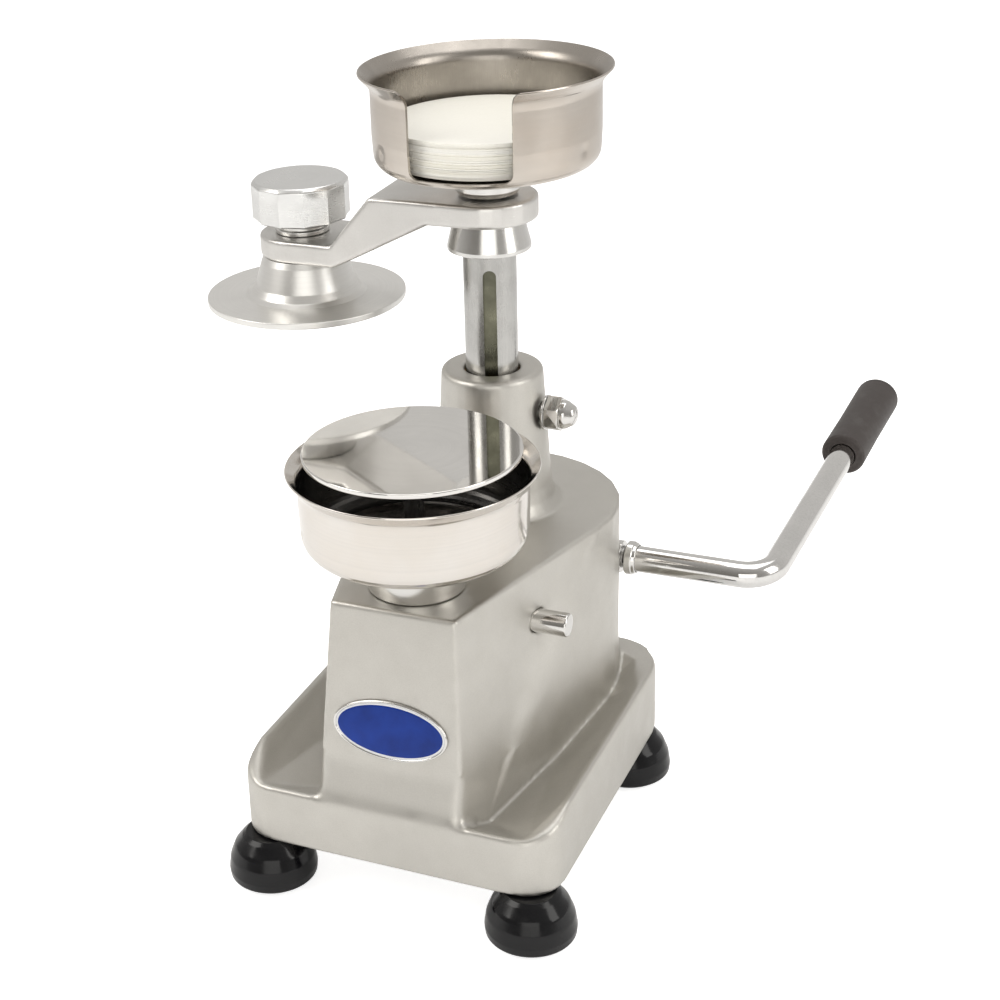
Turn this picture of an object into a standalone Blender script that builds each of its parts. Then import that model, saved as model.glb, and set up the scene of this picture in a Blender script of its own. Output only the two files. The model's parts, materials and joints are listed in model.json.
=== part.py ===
"""Hand-lever patty press: a hollow cast body on four feet, a round mould with a lift plate,
a rack column with a swing-aside press plate, and a paper tray on top of the column.

Axes: +X to the operator's right, +Y away from the operator, +Z up, floor at z = 0.
Every position below is counted from the column's own axis; the root empty then moves the
whole press so that the middle of its box stands on the origin.
"""
import math

import bmesh
import bpy
from mathutils import Matrix, Vector

MM = 0.001
GAP = 0.3 * MM

# ---- mould and lift plate (the mould's 130 mm bore sets the scale of everything else) ----
MOULD_BORE = 130.0 * MM
MOULD_Y = -125.3 * MM
SHEET = 1.5 * MM
BOWL_WALL_R = MOULD_BORE / 2 + SHEET
BOWL_RIM_R = 73.0 * MM
BOWL_RIM_Z = 273.0 * MM
BOWL_BASE_Z = 222.0 * MM
BOWL_CORNER = 9.0 * MM
PLATE_R = 63.0 * MM
LIFT_PLATE_TOP = 282.2 * MM
LIFT_PLATE_THICK = 3.0 * MM

# ---- how far things move ----
HANDLE_SWING = math.radians(165.0)
COLUMN_TRAVEL = 60.0 * MM
LIFT_TRAVEL = 36.0 * MM

# ---- base casting ----
BASE_BOTTOM = 34.0 * MM
BASE_HALF_WIDTH = 102.0 * MM
BASE_FRONT = -184.0 * MM
BASE_REAR = 47.0 * MM
LEDGE_TOP = 83.0 * MM
LEDGE_FRONT_TOP = 72.0 * MM
LEDGE_INNER = 58.0 * MM
BODY_TOP = 196.0 * MM
BODY_REAR_R = 79.0 * MM
BODY_FRONT_HALF_TOP = 39.0 * MM
BODY_FRONT_HALF_LOW = 48.0 * MM
BODY_FRONT_TOP_Y = -162.0 * MM
WALL = 7.0 * MM
BOSS_TOP = 286.0 * MM
BOSS_TOP_R = 31.5 * MM
BOSS_LOW_R = 36.0 * MM

# ---- feet ----
FOOT_X = 85.0 * MM
FOOT_FRONT_Y = -172.0 * MM
FOOT_REAR_Y = 15.0 * MM
FOOT_R = 27.5 * MM
STUD_R = 4.0 * MM

# ---- column, rack and pinion ----
COLUMN_R = 16.2 * MM
COLUMN_BOTTOM = 132.0 * MM
COLUMN_SHOULDER = 362.0 * MM
SPIGOT_TOP = 396.0 * MM
SPIGOT_R = 10.0 * MM
BUSH_OUTER_R = 19.0 * MM
SLOT_AZIMUTH = math.radians(20.0)
SLOT_TOP = 352.0 * MM
SLOT_BOTTOM = 256.0 * MM
SLOT_WIDTH = 8.0 * MM
SLOT_DEPTH = 5.0 * MM
PINION_TEETH = 16
PINION_PITCH_R = COLUMN_TRAVEL / HANDLE_SWING
MODULE = 2 * PINION_PITCH_R / PINION_TEETH
PRESSURE_ANGLE = math.radians(20.0)
ADDENDUM = 0.8 * MODULE
DEDENDUM = 1.0 * MODULE
BACKLASH = 0.35 * MM
RACK_PITCH_Y = 12.6 * MM
SHAFT_Y = RACK_PITCH_Y + PINION_PITCH_R
SHAFT_Z = 150.0 * MM
SHAFT_R = 7.0 * MM

# ---- lift lever and its link ----
LEVER_PIN_Y = -84.0 * MM
LEVER_PIN_Z = 161.0 * MM
LEVER_PIN_R = 7.3 * MM
LEVER_REACH = abs(MOULD_Y - LEVER_PIN_Y)
LEVER_HALF_SWING = math.asin(LIFT_TRAVEL / 2 / LEVER_REACH)
LEVER_TAIL = 33.0 * MM
ROLLER_R = 8.0 * MM
CRANK_HALF_SWING = HANDLE_SWING / 2
CRANK_R = LEVER_TAIL * math.sin(LEVER_HALF_SWING) / math.sin(CRANK_HALF_SWING)
LINK_PIN_R = 4.0 * MM
LINK_X = 20.0 * MM
LINK_THICK = 6.0 * MM
LINK_EYE_R = 6.6 * MM
LINK_BAR_TOP = 6.6 * MM
LINK_BAR_LOW = 15.6 * MM

# ---- swing arm, press plate and knob ----
ARM_REACH = abs(MOULD_Y)
ARM_HUB_R = 30.0 * MM
ARM_END_R = 27.0 * MM
ARM_HIGH = 395.0 * MM
ARM_LOW = 362.3 * MM
ARM_THICK = 14.0 * MM
PRESS_BOTTOM = 318.4 * MM
PRESS_EDGE = 4.0 * MM
PRESS_STUD_R = 8.0 * MM
KNOB_BOTTOM = 370.3 * MM
KNOB_TOP = 396.3 * MM
KNOB_R = 30.5 * MM
KNOB_FLUTES = 12

# ---- paper tray ----
TRAY_BASE_Z = 414.0 * MM
TRAY_RIM_Z = 471.0 * MM
TRAY_WALL_R = 67.5 * MM
TRAY_RIM_R = 74.5 * MM
TRAY_NOTCH_LEFT = math.radians(-20.0)
TRAY_NOTCH_RIGHT = math.radians(34.0)
NOTCH_FLOOR = 4.5 * MM
PAPER_R = 60.0 * MM
PAPER_BOTTOM = 418.9 * MM
PAPER_TOP = 440.0 * MM

# ---- handle ----
HANDLE_R = 8.5 * MM
HANDLE_X = 169.0 * MM
HANDLE_BEND_R = 20.0 * MM
HANDLE_REST_RISE = math.radians(5.9)
HANDLE_LEAN = math.radians(3.5)
GRIP_R = 15.0 * MM
GRIP_START = 165.0 * MM
GRIP_LENGTH = 87.0 * MM
BAR_SHORT = 6.0 * MM
CAP_LENGTH = 7.0 * MM
CAP_FACE_R = 10.0 * MM
COLLAR_R = 11.0 * MM

# ---- small hardware ----
FOOT_PAD_R = 13.0 * MM
FOOT_PLACES = [("front_left", -FOOT_X, FOOT_FRONT_Y), ("front_right", FOOT_X, FOOT_FRONT_Y),
               ("rear_left", -FOOT_X, FOOT_REAR_Y), ("rear_right", FOOT_X, FOOT_REAR_Y)]
ROD_R = 6.0 * MM
SCREW_R = 2.5 * MM
SCREW_CIRCLE = 18.0 * MM
SCREW_START = 71.0
SHAFT_BUSH_R = 10.5 * MM
LOCK_STUD_R = 6.0 * MM
LOCK_STUD_END = 47.0 * MM
LOCK_Z = 259.0 * MM
NUT_FLAT = 9.8 * MM

BUSH_INNER_END = 58.0 * MM
BUSH_OUTER_END = 74.5 * MM
COLLAR_X = 77.5 * MM
COLLAR_TOP = 380.0 * MM
TRAY_SCREW_R = 4.0 * MM
ROLLER_PIN_R = 3.0 * MM
PINION_HALF_WIDTH = 9.0 * MM
CRANK_X = 12.6 * MM
BADGE_Z = 122.5 * MM
BADGE_HALF_WIDTH = 36.2 * MM
BADGE_HALF_HEIGHT = 18.5 * MM

# ---- the box of the whole press, from which its middle is worked out ----
BOX_LEFT = -ARM_REACH - PLATE_R
BOX_FRONT = FOOT_FRONT_Y - FOOT_R
HANDLE_REACH = GRIP_START + GRIP_LENGTH + CAP_LENGTH
HEADING_Y = math.cos(HANDLE_LEAN) * math.cos(HANDLE_REST_RISE)
BOX_RIGHT = HANDLE_X + (HANDLE_REACH - 4.0 * MM) * math.sin(HANDLE_LEAN) + GRIP_R * math.cos(HANDLE_LEAN)
BOX_REAR = SHAFT_Y + HANDLE_REACH * HEADING_Y + CAP_FACE_R * math.sqrt(1.0 - HEADING_Y ** 2)
ROOT_OFFSET = Vector((-(BOX_LEFT + BOX_RIGHT) / 2, -(BOX_FRONT + BOX_REAR) / 2, 0.0))

ALONG_X = (0.0, math.pi / 2, 0.0)

COLOURS = {
    "cast_aluminium": ((0.56, 0.54, 0.50), 0.42, 1.0),
    "machined_aluminium": ((0.66, 0.65, 0.63), 0.30, 1.0),
    "polished_steel": ((0.72, 0.70, 0.67), 0.14, 1.0),
    "ground_steel": ((0.60, 0.59, 0.57), 0.22, 1.0),
    "dark_steel": ((0.30, 0.30, 0.30), 0.38, 1.0),
    "bronze": ((0.60, 0.42, 0.20), 0.35, 1.0),
    "black_rubber": ((0.012, 0.012, 0.013), 0.35, 0.0),
    "black_vinyl": ((0.03, 0.03, 0.033), 0.5, 0.0),
    "blue_enamel": ((0.02, 0.06, 0.32), 0.3, 0.0),
    "waxed_paper": ((0.86, 0.84, 0.76), 0.7, 0.0),
}


# ------------------------------------------------------------------ small tools
def clear_scene():
    for item in list(bpy.data.objects):
        bpy.data.objects.remove(item, do_unlink=True)


def material_for(node_name, finish):
    """A Principled material of the node's own."""
    colour, roughness, metallic = COLOURS[finish]
    material = bpy.data.materials.new(node_name)
    material.use_nodes = True
    shader = material.node_tree.nodes["Principled BSDF"]
    shader.inputs["Base Color"].default_value = (*colour, 1.0)
    shader.inputs["Roughness"].default_value = roughness
    shader.inputs["Metallic"].default_value = metallic
    return material


def empty_at(name, position, parent=None):
    """An empty on a joint's axis; positions are counted from the column's axis."""
    empty = bpy.data.objects.new(name, None)
    bpy.context.collection.objects.link(empty)
    empty["from_column"] = list(position)
    if parent is None:
        empty.location = Vector(position) + ROOT_OFFSET
    else:
        empty.parent = parent
        empty.location = Vector(position) - Vector(parent["from_column"])
    return empty


def add_object(name, shape, parent, at=(0.0, 0.0, 0.0), turn=(0.0, 0.0, 0.0), finish=None):
    """Turn a bmesh into a named object; without a finish it is a hidden cutter."""
    bmesh.ops.recalc_face_normals(shape, faces=shape.faces)
    mesh = bpy.data.meshes.new(name)
    shape.to_mesh(mesh)
    shape.free()
    item = bpy.data.objects.new(name, mesh)
    bpy.context.collection.objects.link(item)
    item.parent = parent
    item.location = Vector(at) - Vector(parent["from_column"])
    item.rotation_euler = turn
    if finish is None:
        item.hide_render = True
        item.display_type = "WIRE"
    else:
        mesh.materials.append(material_for(name, finish))
        mesh.shade_smooth()
        mesh.set_sharp_from_angle(angle=math.radians(32.0))
    return item


def combine(item, tool, operation="DIFFERENCE"):
    modifier = item.modifiers.new(operation.lower() + "_" + tool.name, "BOOLEAN")
    modifier.operation = operation
    modifier.object = tool


def bevel(item, width, segments=2, angle=35.0):
    modifier = item.modifiers.new("rounded_edges", "BEVEL")
    modifier.width = width
    modifier.segments = segments
    modifier.limit_method = "ANGLE"
    modifier.angle_limit = math.radians(angle)
    modifier.harden_normals = False


def arc(centre, radius, start, end, steps):
    """Points on an arc, both ends included; angles in radians."""
    points = []
    for step in range(steps + 1):
        angle = start + (end - start) * step / steps
        points.append((centre[0] + radius * math.cos(angle), centre[1] + radius * math.sin(angle)))
    return points


def turned(profile, segments=40):
    """A solid of revolution about local Z from a closed (radius, z) outline."""
    shape = bmesh.new()
    rings = []
    for radius, z in profile:
        if radius < 1e-7:
            rings.append([shape.verts.new((0.0, 0.0, z))])
            continue
        ring = []
        for step in range(segments):
            angle = 2 * math.pi * step / segments
            ring.append(shape.verts.new((radius * math.cos(angle), radius * math.sin(angle), z)))
        rings.append(ring)
    for index, ring in enumerate(rings):
        following = rings[(index + 1) % len(rings)]
        if len(ring) == 1 and len(following) == 1:
            continue
        for step in range(segments):
            after = (step + 1) % segments
            corners = [ring[step % len(ring)], ring[after % len(ring)],
                       following[after % len(following)], following[step % len(following)]]
            shape.faces.new(list(dict.fromkeys(corners)))
    return shape


def cylinder(radius, low, high, segments=32, chamfer=0.0):
    return turned(rod_profile(radius, low, high, chamfer), segments)


def rod_profile(radius, low, high, chamfer=0.0):
    if chamfer <= 0.0:
        return [(0.0, low), (radius, low), (radius, high), (0.0, high)]
    return [(0.0, low), (radius - chamfer, low), (radius, low + chamfer),
            (radius, high - chamfer), (radius - chamfer, high), (0.0, high)]


def ring(inner, outer, low, high, segments=32, chamfer=0.0):
    if chamfer <= 0.0:
        return turned([(inner, low), (outer, low), (outer, high), (inner, high)], segments)
    return turned([(inner, low), (outer - chamfer, low), (outer, low + chamfer),
                   (outer, high - chamfer), (outer - chamfer, high), (inner, high)], segments)


def prism(outline, low, high):
    """An upright solid on a closed (x, y) outline."""
    return loft([(outline, low), (outline, high)])


def loft(levels):
    """A solid through stacked outlines with the same number of points: [(outline, z), ...]."""
    shape = bmesh.new()
    loops = []
    for outline, z in levels:
        loops.append([shape.verts.new((x, y, z)) for x, y in outline])
    shape.faces.new(list(reversed(loops[0])))
    shape.faces.new(loops[-1])
    for lower, upper in zip(loops, loops[1:]):
        for index in range(len(lower)):
            after = (index + 1) % len(lower)
            shape.faces.new((lower[index], lower[after], upper[after], upper[index]))
    return shape


def side_prism(outline, left, right):
    """A solid on a closed (y, z) outline, running along X."""
    shape = prism(outline, left, right)
    bmesh.ops.transform(shape, matrix=Matrix(((0, 0, 1, 0), (1, 0, 0, 0), (0, 1, 0, 0), (0, 0, 0, 1))),
                        verts=shape.verts)
    return shape


def front_prism(outline, front, rear):
    """A solid on a closed (x, z) outline, running along Y."""
    shape = prism(outline, front, rear)
    bmesh.ops.transform(shape, matrix=Matrix(((1, 0, 0, 0), (0, 0, 1, 0), (0, 1, 0, 0), (0, 0, 0, 1))),
                        verts=shape.verts)
    return shape


def convex(points):
    shape = bmesh.new()
    for point in points:
        shape.verts.new(point)
    hull = bmesh.ops.convex_hull(shape, input=shape.verts)
    spare = [part for part in hull["geom_interior"] if isinstance(part, bmesh.types.BMVert)]
    bmesh.ops.delete(shape, geom=spare, context="VERTS")
    return shape


def rounded_box_outline(left, right, front, rear, front_radius, rear_radius, steps=6):
    quarter = math.pi / 2
    points = arc((left + front_radius, front + front_radius), front_radius, 2 * quarter, 3 * quarter, steps)
    points += arc((right - front_radius, front + front_radius), front_radius, 3 * quarter, 4 * quarter,
                  steps)
    points += arc((right - rear_radius, rear - rear_radius), rear_radius, 0.0, quarter, steps)
    points += arc((left + rear_radius, rear - rear_radius), rear_radius, quarter, 2 * quarter, steps)
    return points


def capsule_outline(start, start_radius, end, end_radius, steps=8):
    """Two circles joined by their outer tangents, in the plane."""
    run = Vector(end) - Vector(start)
    heading = math.atan2(run.y, run.x)
    lean = math.asin((start_radius - end_radius) / run.length)
    side = math.pi / 2 - lean
    points = arc(end, end_radius, heading - side, heading + side, steps)
    points += arc(start, start_radius, heading + side, heading + 2 * math.pi - side, steps)
    return points


# ------------------------------------------------------------------ base casting
def body_half_width(y, front_y, front_half):
    """Half width of the body's plan at y: straight sides that run tangent into the round rear."""
    contact = tangent_angle(front_y, front_half)
    contact_y = BODY_REAR_R * math.sin(contact)
    if y >= contact_y:
        return math.sqrt(max(BODY_REAR_R ** 2 - y ** 2, 0.0))
    contact_x = BODY_REAR_R * math.cos(contact)
    share = (y - front_y) / (contact_y - front_y)
    return front_half + (contact_x - front_half) * share


def tangent_angle(front_y, front_half, radius=BODY_REAR_R):
    """Angle, from +X, where a line from the front corner touches the rear circle."""
    distance = math.hypot(front_half, front_y)
    return math.atan2(front_y, front_half) + math.acos(radius / distance)


def body_outline(front_y, front_half, radius, steps=16):
    """Front corners, then the round rear, anticlockwise from the front left."""
    contact = tangent_angle(front_y, front_half, radius)
    points = [(-front_half, front_y), (front_half, front_y)]
    points += arc((0.0, 0.0), radius, contact, math.pi - contact, steps)
    return points


def body_solid(inset, low, high):
    """The wedge-shaped tower; its front and sides lean in towards the top."""
    levels = []
    for z in (low, high):
        share = (z - BASE_BOTTOM) / (BODY_TOP - BASE_BOTTOM)
        front_y = BASE_FRONT + (BODY_FRONT_TOP_Y - BASE_FRONT) * share + inset
        half = BODY_FRONT_HALF_LOW + (BODY_FRONT_HALF_TOP - BODY_FRONT_HALF_LOW) * share - inset
        levels.append((body_outline(front_y, half, BODY_REAR_R - inset), z))
    return loft(levels)


def ledge_pocket(side):
    """The sunken ledge beside the body: it falls from the outer edge to the body's foot."""
    outer = BASE_HALF_WIDTH - 3.0 * MM
    over = LEDGE_TOP + 12.0 * MM
    front = BASE_FRONT + 4.0 * MM
    floor = [(40.0 * MM, front, LEDGE_FRONT_TOP - 1.0 * MM), (outer - 14.0 * MM, front, LEDGE_FRONT_TOP),
             (45.0 * MM, -150.0 * MM, LEDGE_INNER), (outer, -150.0 * MM, LEDGE_TOP),
             (60.0 * MM, -10.0 * MM, LEDGE_INNER), (outer, -10.0 * MM, LEDGE_TOP),
             (72.0 * MM, 30.0 * MM, LEDGE_TOP), (outer - 12.0 * MM, 22.0 * MM, LEDGE_TOP)]
    points = floor + [(x, y, over) for x, y, z in floor]
    return convex([(side * x, y, z) for x, y, z in points])


def add_base_casting(root):
    outline = rounded_box_outline(-BASE_HALF_WIDTH, BASE_HALF_WIDTH, BASE_FRONT, BASE_REAR,
                                  24.0 * MM, 34.0 * MM)
    casting = add_object("base_casting", prism(outline, BASE_BOTTOM, LEDGE_TOP), root,
                         finish="cast_aluminium")
    slope = side_prism([(BASE_FRONT - 5.0 * MM, LEDGE_FRONT_TOP - 1.2 * MM),
                        (BASE_FRONT + 36.0 * MM, LEDGE_TOP),
                        (BASE_FRONT + 36.0 * MM, LEDGE_TOP + 5.0 * MM),
                        (BASE_FRONT - 5.0 * MM, LEDGE_TOP + 5.0 * MM)], -0.15, 0.15)
    combine(casting, add_object("front_slope_cutter", slope, root))
    for side, name in ((-1, "left"), (1, "right")):
        combine(casting, add_object(name + "_ledge_cutter", ledge_pocket(side), root))
    combine(casting, add_object("body_block", body_solid(0.0, BASE_BOTTOM, BODY_TOP), root), "UNION")
    boss = turned([(0.0, BODY_TOP - 3.0 * MM), (BOSS_LOW_R + 7.0 * MM, BODY_TOP - 3.0 * MM),
                   (BOSS_LOW_R + 6.0 * MM, BODY_TOP + 1.0 * MM),
                   (BOSS_LOW_R + 2.0 * MM, BODY_TOP + 6.0 * MM),
                   (BOSS_LOW_R, BODY_TOP + 14.0 * MM), (BOSS_TOP_R, BOSS_TOP - 2.0 * MM),
                   (BOSS_TOP_R - 2.0 * MM, BOSS_TOP), (0.0, BOSS_TOP)], 36)
    combine(casting, add_object("boss_block", boss, root), "UNION")
    cavity = body_solid(WALL, BASE_BOTTOM - 1.0 * MM, BODY_TOP - WALL - 1.0 * MM)
    combine(casting, add_object("cavity_cutter", cavity, root))
    under = rounded_box_outline(-BASE_HALF_WIDTH + WALL, BASE_HALF_WIDTH - WALL, BASE_FRONT + WALL,
                                BASE_REAR - WALL, 18.0 * MM, 28.0 * MM)
    under_cut = add_object("underside_cutter", prism(under, BASE_BOTTOM - 1.0 * MM, BASE_BOTTOM + 10.0 * MM),
                           root)
    for name, x, y in FOOT_PLACES:
        pad = cylinder(FOOT_PAD_R, BASE_BOTTOM - 2.0 * MM, BASE_BOTTOM + 14.0 * MM, 24)
        combine(under_cut, add_object(name + "_pad_guide", pad, root, (x, y, 0.0)))
    combine(casting, under_cut)
    for name, x, y in FOOT_PLACES:
        hole = cylinder(STUD_R + GAP, BASE_BOTTOM - 3.0 * MM, BASE_BOTTOM + 31.0 * MM, 20)
        combine(casting, add_object(name + "_hole_cutter", hole, root, (x, y, 0.0)))
    column_bore = turned([(0.0, 180.0 * MM), (BUSH_OUTER_R + GAP, 180.0 * MM),
                          (BUSH_OUTER_R + GAP, BOSS_TOP - 4.0 * MM),
                          (COLUMN_R + 1.0 * MM, BOSS_TOP - 4.0 * MM),
                          (COLUMN_R + 1.0 * MM, BOSS_TOP + 5.0 * MM), (0.0, BOSS_TOP + 5.0 * MM)], 32)
    combine(casting, add_object("column_bore_cutter", column_bore, root))
    rod_bore = cylinder(ROD_R + 0.4 * MM, 180.0 * MM, BODY_TOP + 5.0 * MM, 24)
    combine(casting, add_object("rod_bore_cutter", rod_bore, root, (0.0, MOULD_Y, 0.0)))
    for x, y in bowl_screw_places():
        hole = cylinder(SCREW_R + GAP, 180.0 * MM, BODY_TOP + 5.0 * MM, 16)
        combine(casting, add_object("screw_bore_cutter", hole, root, (x, y, 0.0)))
    pin_bore = cylinder(LEVER_PIN_R + GAP, -0.12, 0.12, 20)
    combine(casting, add_object("lever_pin_bore_cutter", pin_bore, root,
                                (0.0, LEVER_PIN_Y, LEVER_PIN_Z), ALONG_X))
    shaft_bore = cylinder(SHAFT_BUSH_R + GAP, -0.12, 0.12, 28)
    combine(casting, add_object("shaft_bore_cutter", shaft_bore, root, (0.0, SHAFT_Y, SHAFT_Z), ALONG_X))
    lock_bore = cylinder(LOCK_STUD_R + GAP, 0.010, 0.060, 20)
    combine(casting, add_object("lock_bore_cutter", lock_bore, root, (0.0, 0.0, LOCK_Z), ALONG_X))
    return casting


# ------------------------------------------------------------------ fixed pieces on the casting
def add_feet(root):
    for name, x, y in FOOT_PLACES:
        dome = [(0.0, 0.0), (21.0 * MM, 0.0), (25.0 * MM, 2.0 * MM), (FOOT_R - 0.4 * MM, 6.0 * MM)]
        dome += [(FOOT_R, 10.0 * MM), (26.6 * MM, 17.0 * MM), (24.0 * MM, 24.0 * MM), (19.5 * MM, 30.0 * MM)]
        dome += [(15.5 * MM, BASE_BOTTOM - GAP), (STUD_R + GAP, BASE_BOTTOM - GAP), (STUD_R + GAP, 9.0 * MM)]
        dome += [(0.0, 9.0 * MM)]
        add_object("foot_" + name, turned(dome, 24), root, (x, y, 0.0), finish="black_rubber")
        stud = rod_profile(STUD_R, 9.0 * MM + GAP, BASE_BOTTOM + 29.0 * MM, 0.8 * MM)
        add_object("foot_stud_" + name, turned(stud, 16), root, (x, y, 0.0), finish="dark_steel")


def bowl_outline(base_z, rim_z, wall_r, rim_r):
    """Outline of a spun bowl wall: floor, rounded corner, slight draft and a flared, rolled rim."""
    low_r = wall_r - 1.0 * MM
    outside = arc((low_r - BOWL_CORNER, base_z + BOWL_CORNER), BOWL_CORNER, -math.pi / 2, 0.0, 3)
    flare = rim_r - wall_r
    outside += [(wall_r, rim_z - flare - 1.0 * MM)]
    outside += [(wall_r + 0.35 * flare, rim_z - 0.45 * flare), (rim_r, rim_z - 1.0 * MM)]
    inside = [(rim_r - 0.4 * MM, rim_z), (wall_r + 0.2 * flare, rim_z - 0.25 * flare)]
    inside += [(wall_r - SHEET, rim_z - flare - 1.0 * MM)]
    inside += arc((low_r - BOWL_CORNER, base_z + BOWL_CORNER), BOWL_CORNER - SHEET, 0.0, -math.pi / 2, 3)
    return outside, inside


def bowl_screw_places():
    places = []
    for step in range(3):
        angle = math.radians(SCREW_START + 120.0 * step)
        places.append((SCREW_CIRCLE * math.cos(angle), MOULD_Y + SCREW_CIRCLE * math.sin(angle)))
    return places


def add_mould(root):
    at = (0.0, MOULD_Y, 0.0)
    outside, inside = bowl_outline(BOWL_BASE_Z, BOWL_RIM_Z, BOWL_WALL_R, BOWL_RIM_R)
    bowl_profile = [(ROD_R + 0.6 * MM, BOWL_BASE_Z)] + outside + inside
    bowl_profile += [(ROD_R + 0.6 * MM, BOWL_BASE_Z + SHEET)]
    bowl = add_object("mould_bowl", turned(bowl_profile, 44), root, at, finish="polished_steel")
    pedestal_profile = [(ROD_R + 0.4 * MM, BODY_TOP + GAP), (29.0 * MM, BODY_TOP + GAP),
                        (29.5 * MM, BODY_TOP + 4.0 * MM), (33.0 * MM, BOWL_BASE_Z - 5.0 * MM),
                        (33.0 * MM, BOWL_BASE_Z - GAP), (ROD_R + 0.4 * MM, BOWL_BASE_Z - GAP)]
    pedestal = add_object("mould_pedestal", turned(pedestal_profile, 32), root, at, finish="polished_steel")
    for index, (x, y) in enumerate(bowl_screw_places()):
        hole = cylinder(SCREW_R + GAP, 190.0 * MM, 230.0 * MM, 16)
        cutter = add_object("bowl_screw_cutter_%d" % index, hole, root, (x, y, 0.0))
        combine(bowl, cutter)
        combine(pedestal, cutter)
        head = BOWL_BASE_Z + SHEET + GAP
        screw = [(0.0, BODY_TOP - 7.0 * MM), (SCREW_R, BODY_TOP - 7.0 * MM), (SCREW_R, head),
                 (4.6 * MM, head), (4.6 * MM, head + 1.6 * MM), (3.4 * MM, head + 2.8 * MM),
                 (0.0, head + 2.8 * MM)]
        add_object("bowl_screw_%d" % (index + 1), turned(screw, 16), root, (x, y, 0.0),
                   finish="ground_steel")


def add_column_guides(root):
    low = 200.0 * MM
    high = BOSS_TOP - 4.0 * MM - GAP
    bush = add_object("column_bush", ring(COLUMN_R + 0.3 * MM, BUSH_OUTER_R, low, high, 32), root,
                      finish="bronze")
    key_turn = (0.0, 0.0, SLOT_AZIMUTH - math.pi / 2)
    key_low = 262.0 * MM
    key_high = 278.0 * MM
    key_in = COLUMN_R - SLOT_DEPTH + 0.6 * MM
    half = SLOT_WIDTH / 2 - 0.4 * MM
    seat = prism([(10.0 * MM, -half - GAP), (20.0 * MM, -half - GAP), (20.0 * MM, half + GAP),
                  (10.0 * MM, half + GAP)], key_low - GAP, key_high + GAP)
    combine(bush, add_object("key_seat_cutter", seat, root, turn=key_turn))
    key = prism([(key_in, -half), (BUSH_OUTER_R - 0.3 * MM, -half), (BUSH_OUTER_R - 0.3 * MM, half),
                 (key_in, half)], key_low, key_high)
    add_object("guide_key", key, root, turn=key_turn, finish="ground_steel")
    stud_hole = cylinder(LOCK_STUD_R + GAP, 0.010, 0.060, 20)
    combine(bush, add_object("bush_lock_cutter", stud_hole, root, (0.0, 0.0, LOCK_Z), ALONG_X))
    pad_end = COLUMN_R + 0.3 * MM
    add_object("lock_pad", cylinder(5.0 * MM, pad_end, pad_end + 3.0 * MM, 20), root, (0.0, 0.0, LOCK_Z),
               ALONG_X, "bronze")
    add_object("lock_stud", cylinder(LOCK_STUD_R, pad_end + 3.3 * MM, LOCK_STUD_END, 20, 0.6 * MM), root,
               (0.0, 0.0, LOCK_Z), ALONG_X, "ground_steel")
    seat_x = BOSS_TOP_R + 3.2 * MM
    add_object("lock_washer", ring(LOCK_STUD_R + GAP, 11.0 * MM, seat_x, seat_x + 1.6 * MM, 24), root,
               (0.0, 0.0, LOCK_Z), ALONG_X, "polished_steel")
    nut = add_object("acorn_nut", acorn_nut_shape(seat_x + 1.6 * MM + GAP), root, (0.0, 0.0, LOCK_Z),
                     ALONG_X,
                     "polished_steel")
    nut_bore = cylinder(LOCK_STUD_R + GAP, seat_x, LOCK_STUD_END + GAP, 20)
    combine(nut, add_object("nut_bore_cutter", nut_bore, root, (0.0, 0.0, LOCK_Z), ALONG_X))


def acorn_nut_shape(low):
    """A hexagon with a domed cap and a blind bore for the stud."""
    hexagon_high = low + 9.0 * MM
    corner_r = NUT_FLAT / math.cos(math.pi / 6)
    dome = arc((0.0, hexagon_high), 9.0 * MM, 0.0, math.pi / 2, 4)
    levels = []
    side_count = 18
    for radius, z in [(corner_r, low), (corner_r, hexagon_high)]:
        levels.append((hexagon_points(radius, side_count), z))
    for radius, z in dome[:-1]:
        levels.append((circle_points(radius, side_count), z + 0.6 * MM))
    levels.append((circle_points(1.2 * MM, side_count), dome[-1][1] + 0.6 * MM))
    return loft(levels)


def circle_points(radius, count):
    return [(radius * math.cos(2 * math.pi * step / count), radius * math.sin(2 * math.pi * step / count))
            for step in range(count)]


def hexagon_points(corner_r, count):
    points = []
    for step in range(count):
        angle = 2 * math.pi * step / count
        within = (angle % (math.pi / 3)) - math.pi / 6
        radius = corner_r * math.cos(math.pi / 6) / math.cos(within)
        points.append((radius * math.cos(angle), radius * math.sin(angle)))
    return points


def side_wall_x(y, z):
    """Outer half width of the body at a place on its side."""
    share = (z - BASE_BOTTOM) / (BODY_TOP - BASE_BOTTOM)
    front_y = BASE_FRONT + (BODY_FRONT_TOP_Y - BASE_FRONT) * share
    front_half = BODY_FRONT_HALF_LOW + (BODY_FRONT_HALF_TOP - BODY_FRONT_HALF_LOW) * share
    return body_half_width(y, front_y, front_half)


def add_wall_fittings(root):
    """The lever's cross pin and the bushes of the handle shaft."""
    wall_x = side_wall_x(LEVER_PIN_Y, LEVER_PIN_Z)
    pin = cylinder(LEVER_PIN_R, -wall_x + 2.0 * MM, wall_x + 18.0 * MM, 20, 1.0 * MM)
    add_object("lever_pin", pin, root, (0.0, LEVER_PIN_Y, LEVER_PIN_Z), ALONG_X, "polished_steel")
    for side, name in ((1, "right"), (-1, "left")):
        low, high = sorted((side * BUSH_INNER_END, side * BUSH_OUTER_END))
        bush = ring(SHAFT_R + 0.1 * MM, SHAFT_BUSH_R, low, high, 28)
        add_object("shaft_bush_" + name, bush, root, (0.0, SHAFT_Y, SHAFT_Z), ALONG_X, "ground_steel")


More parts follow.
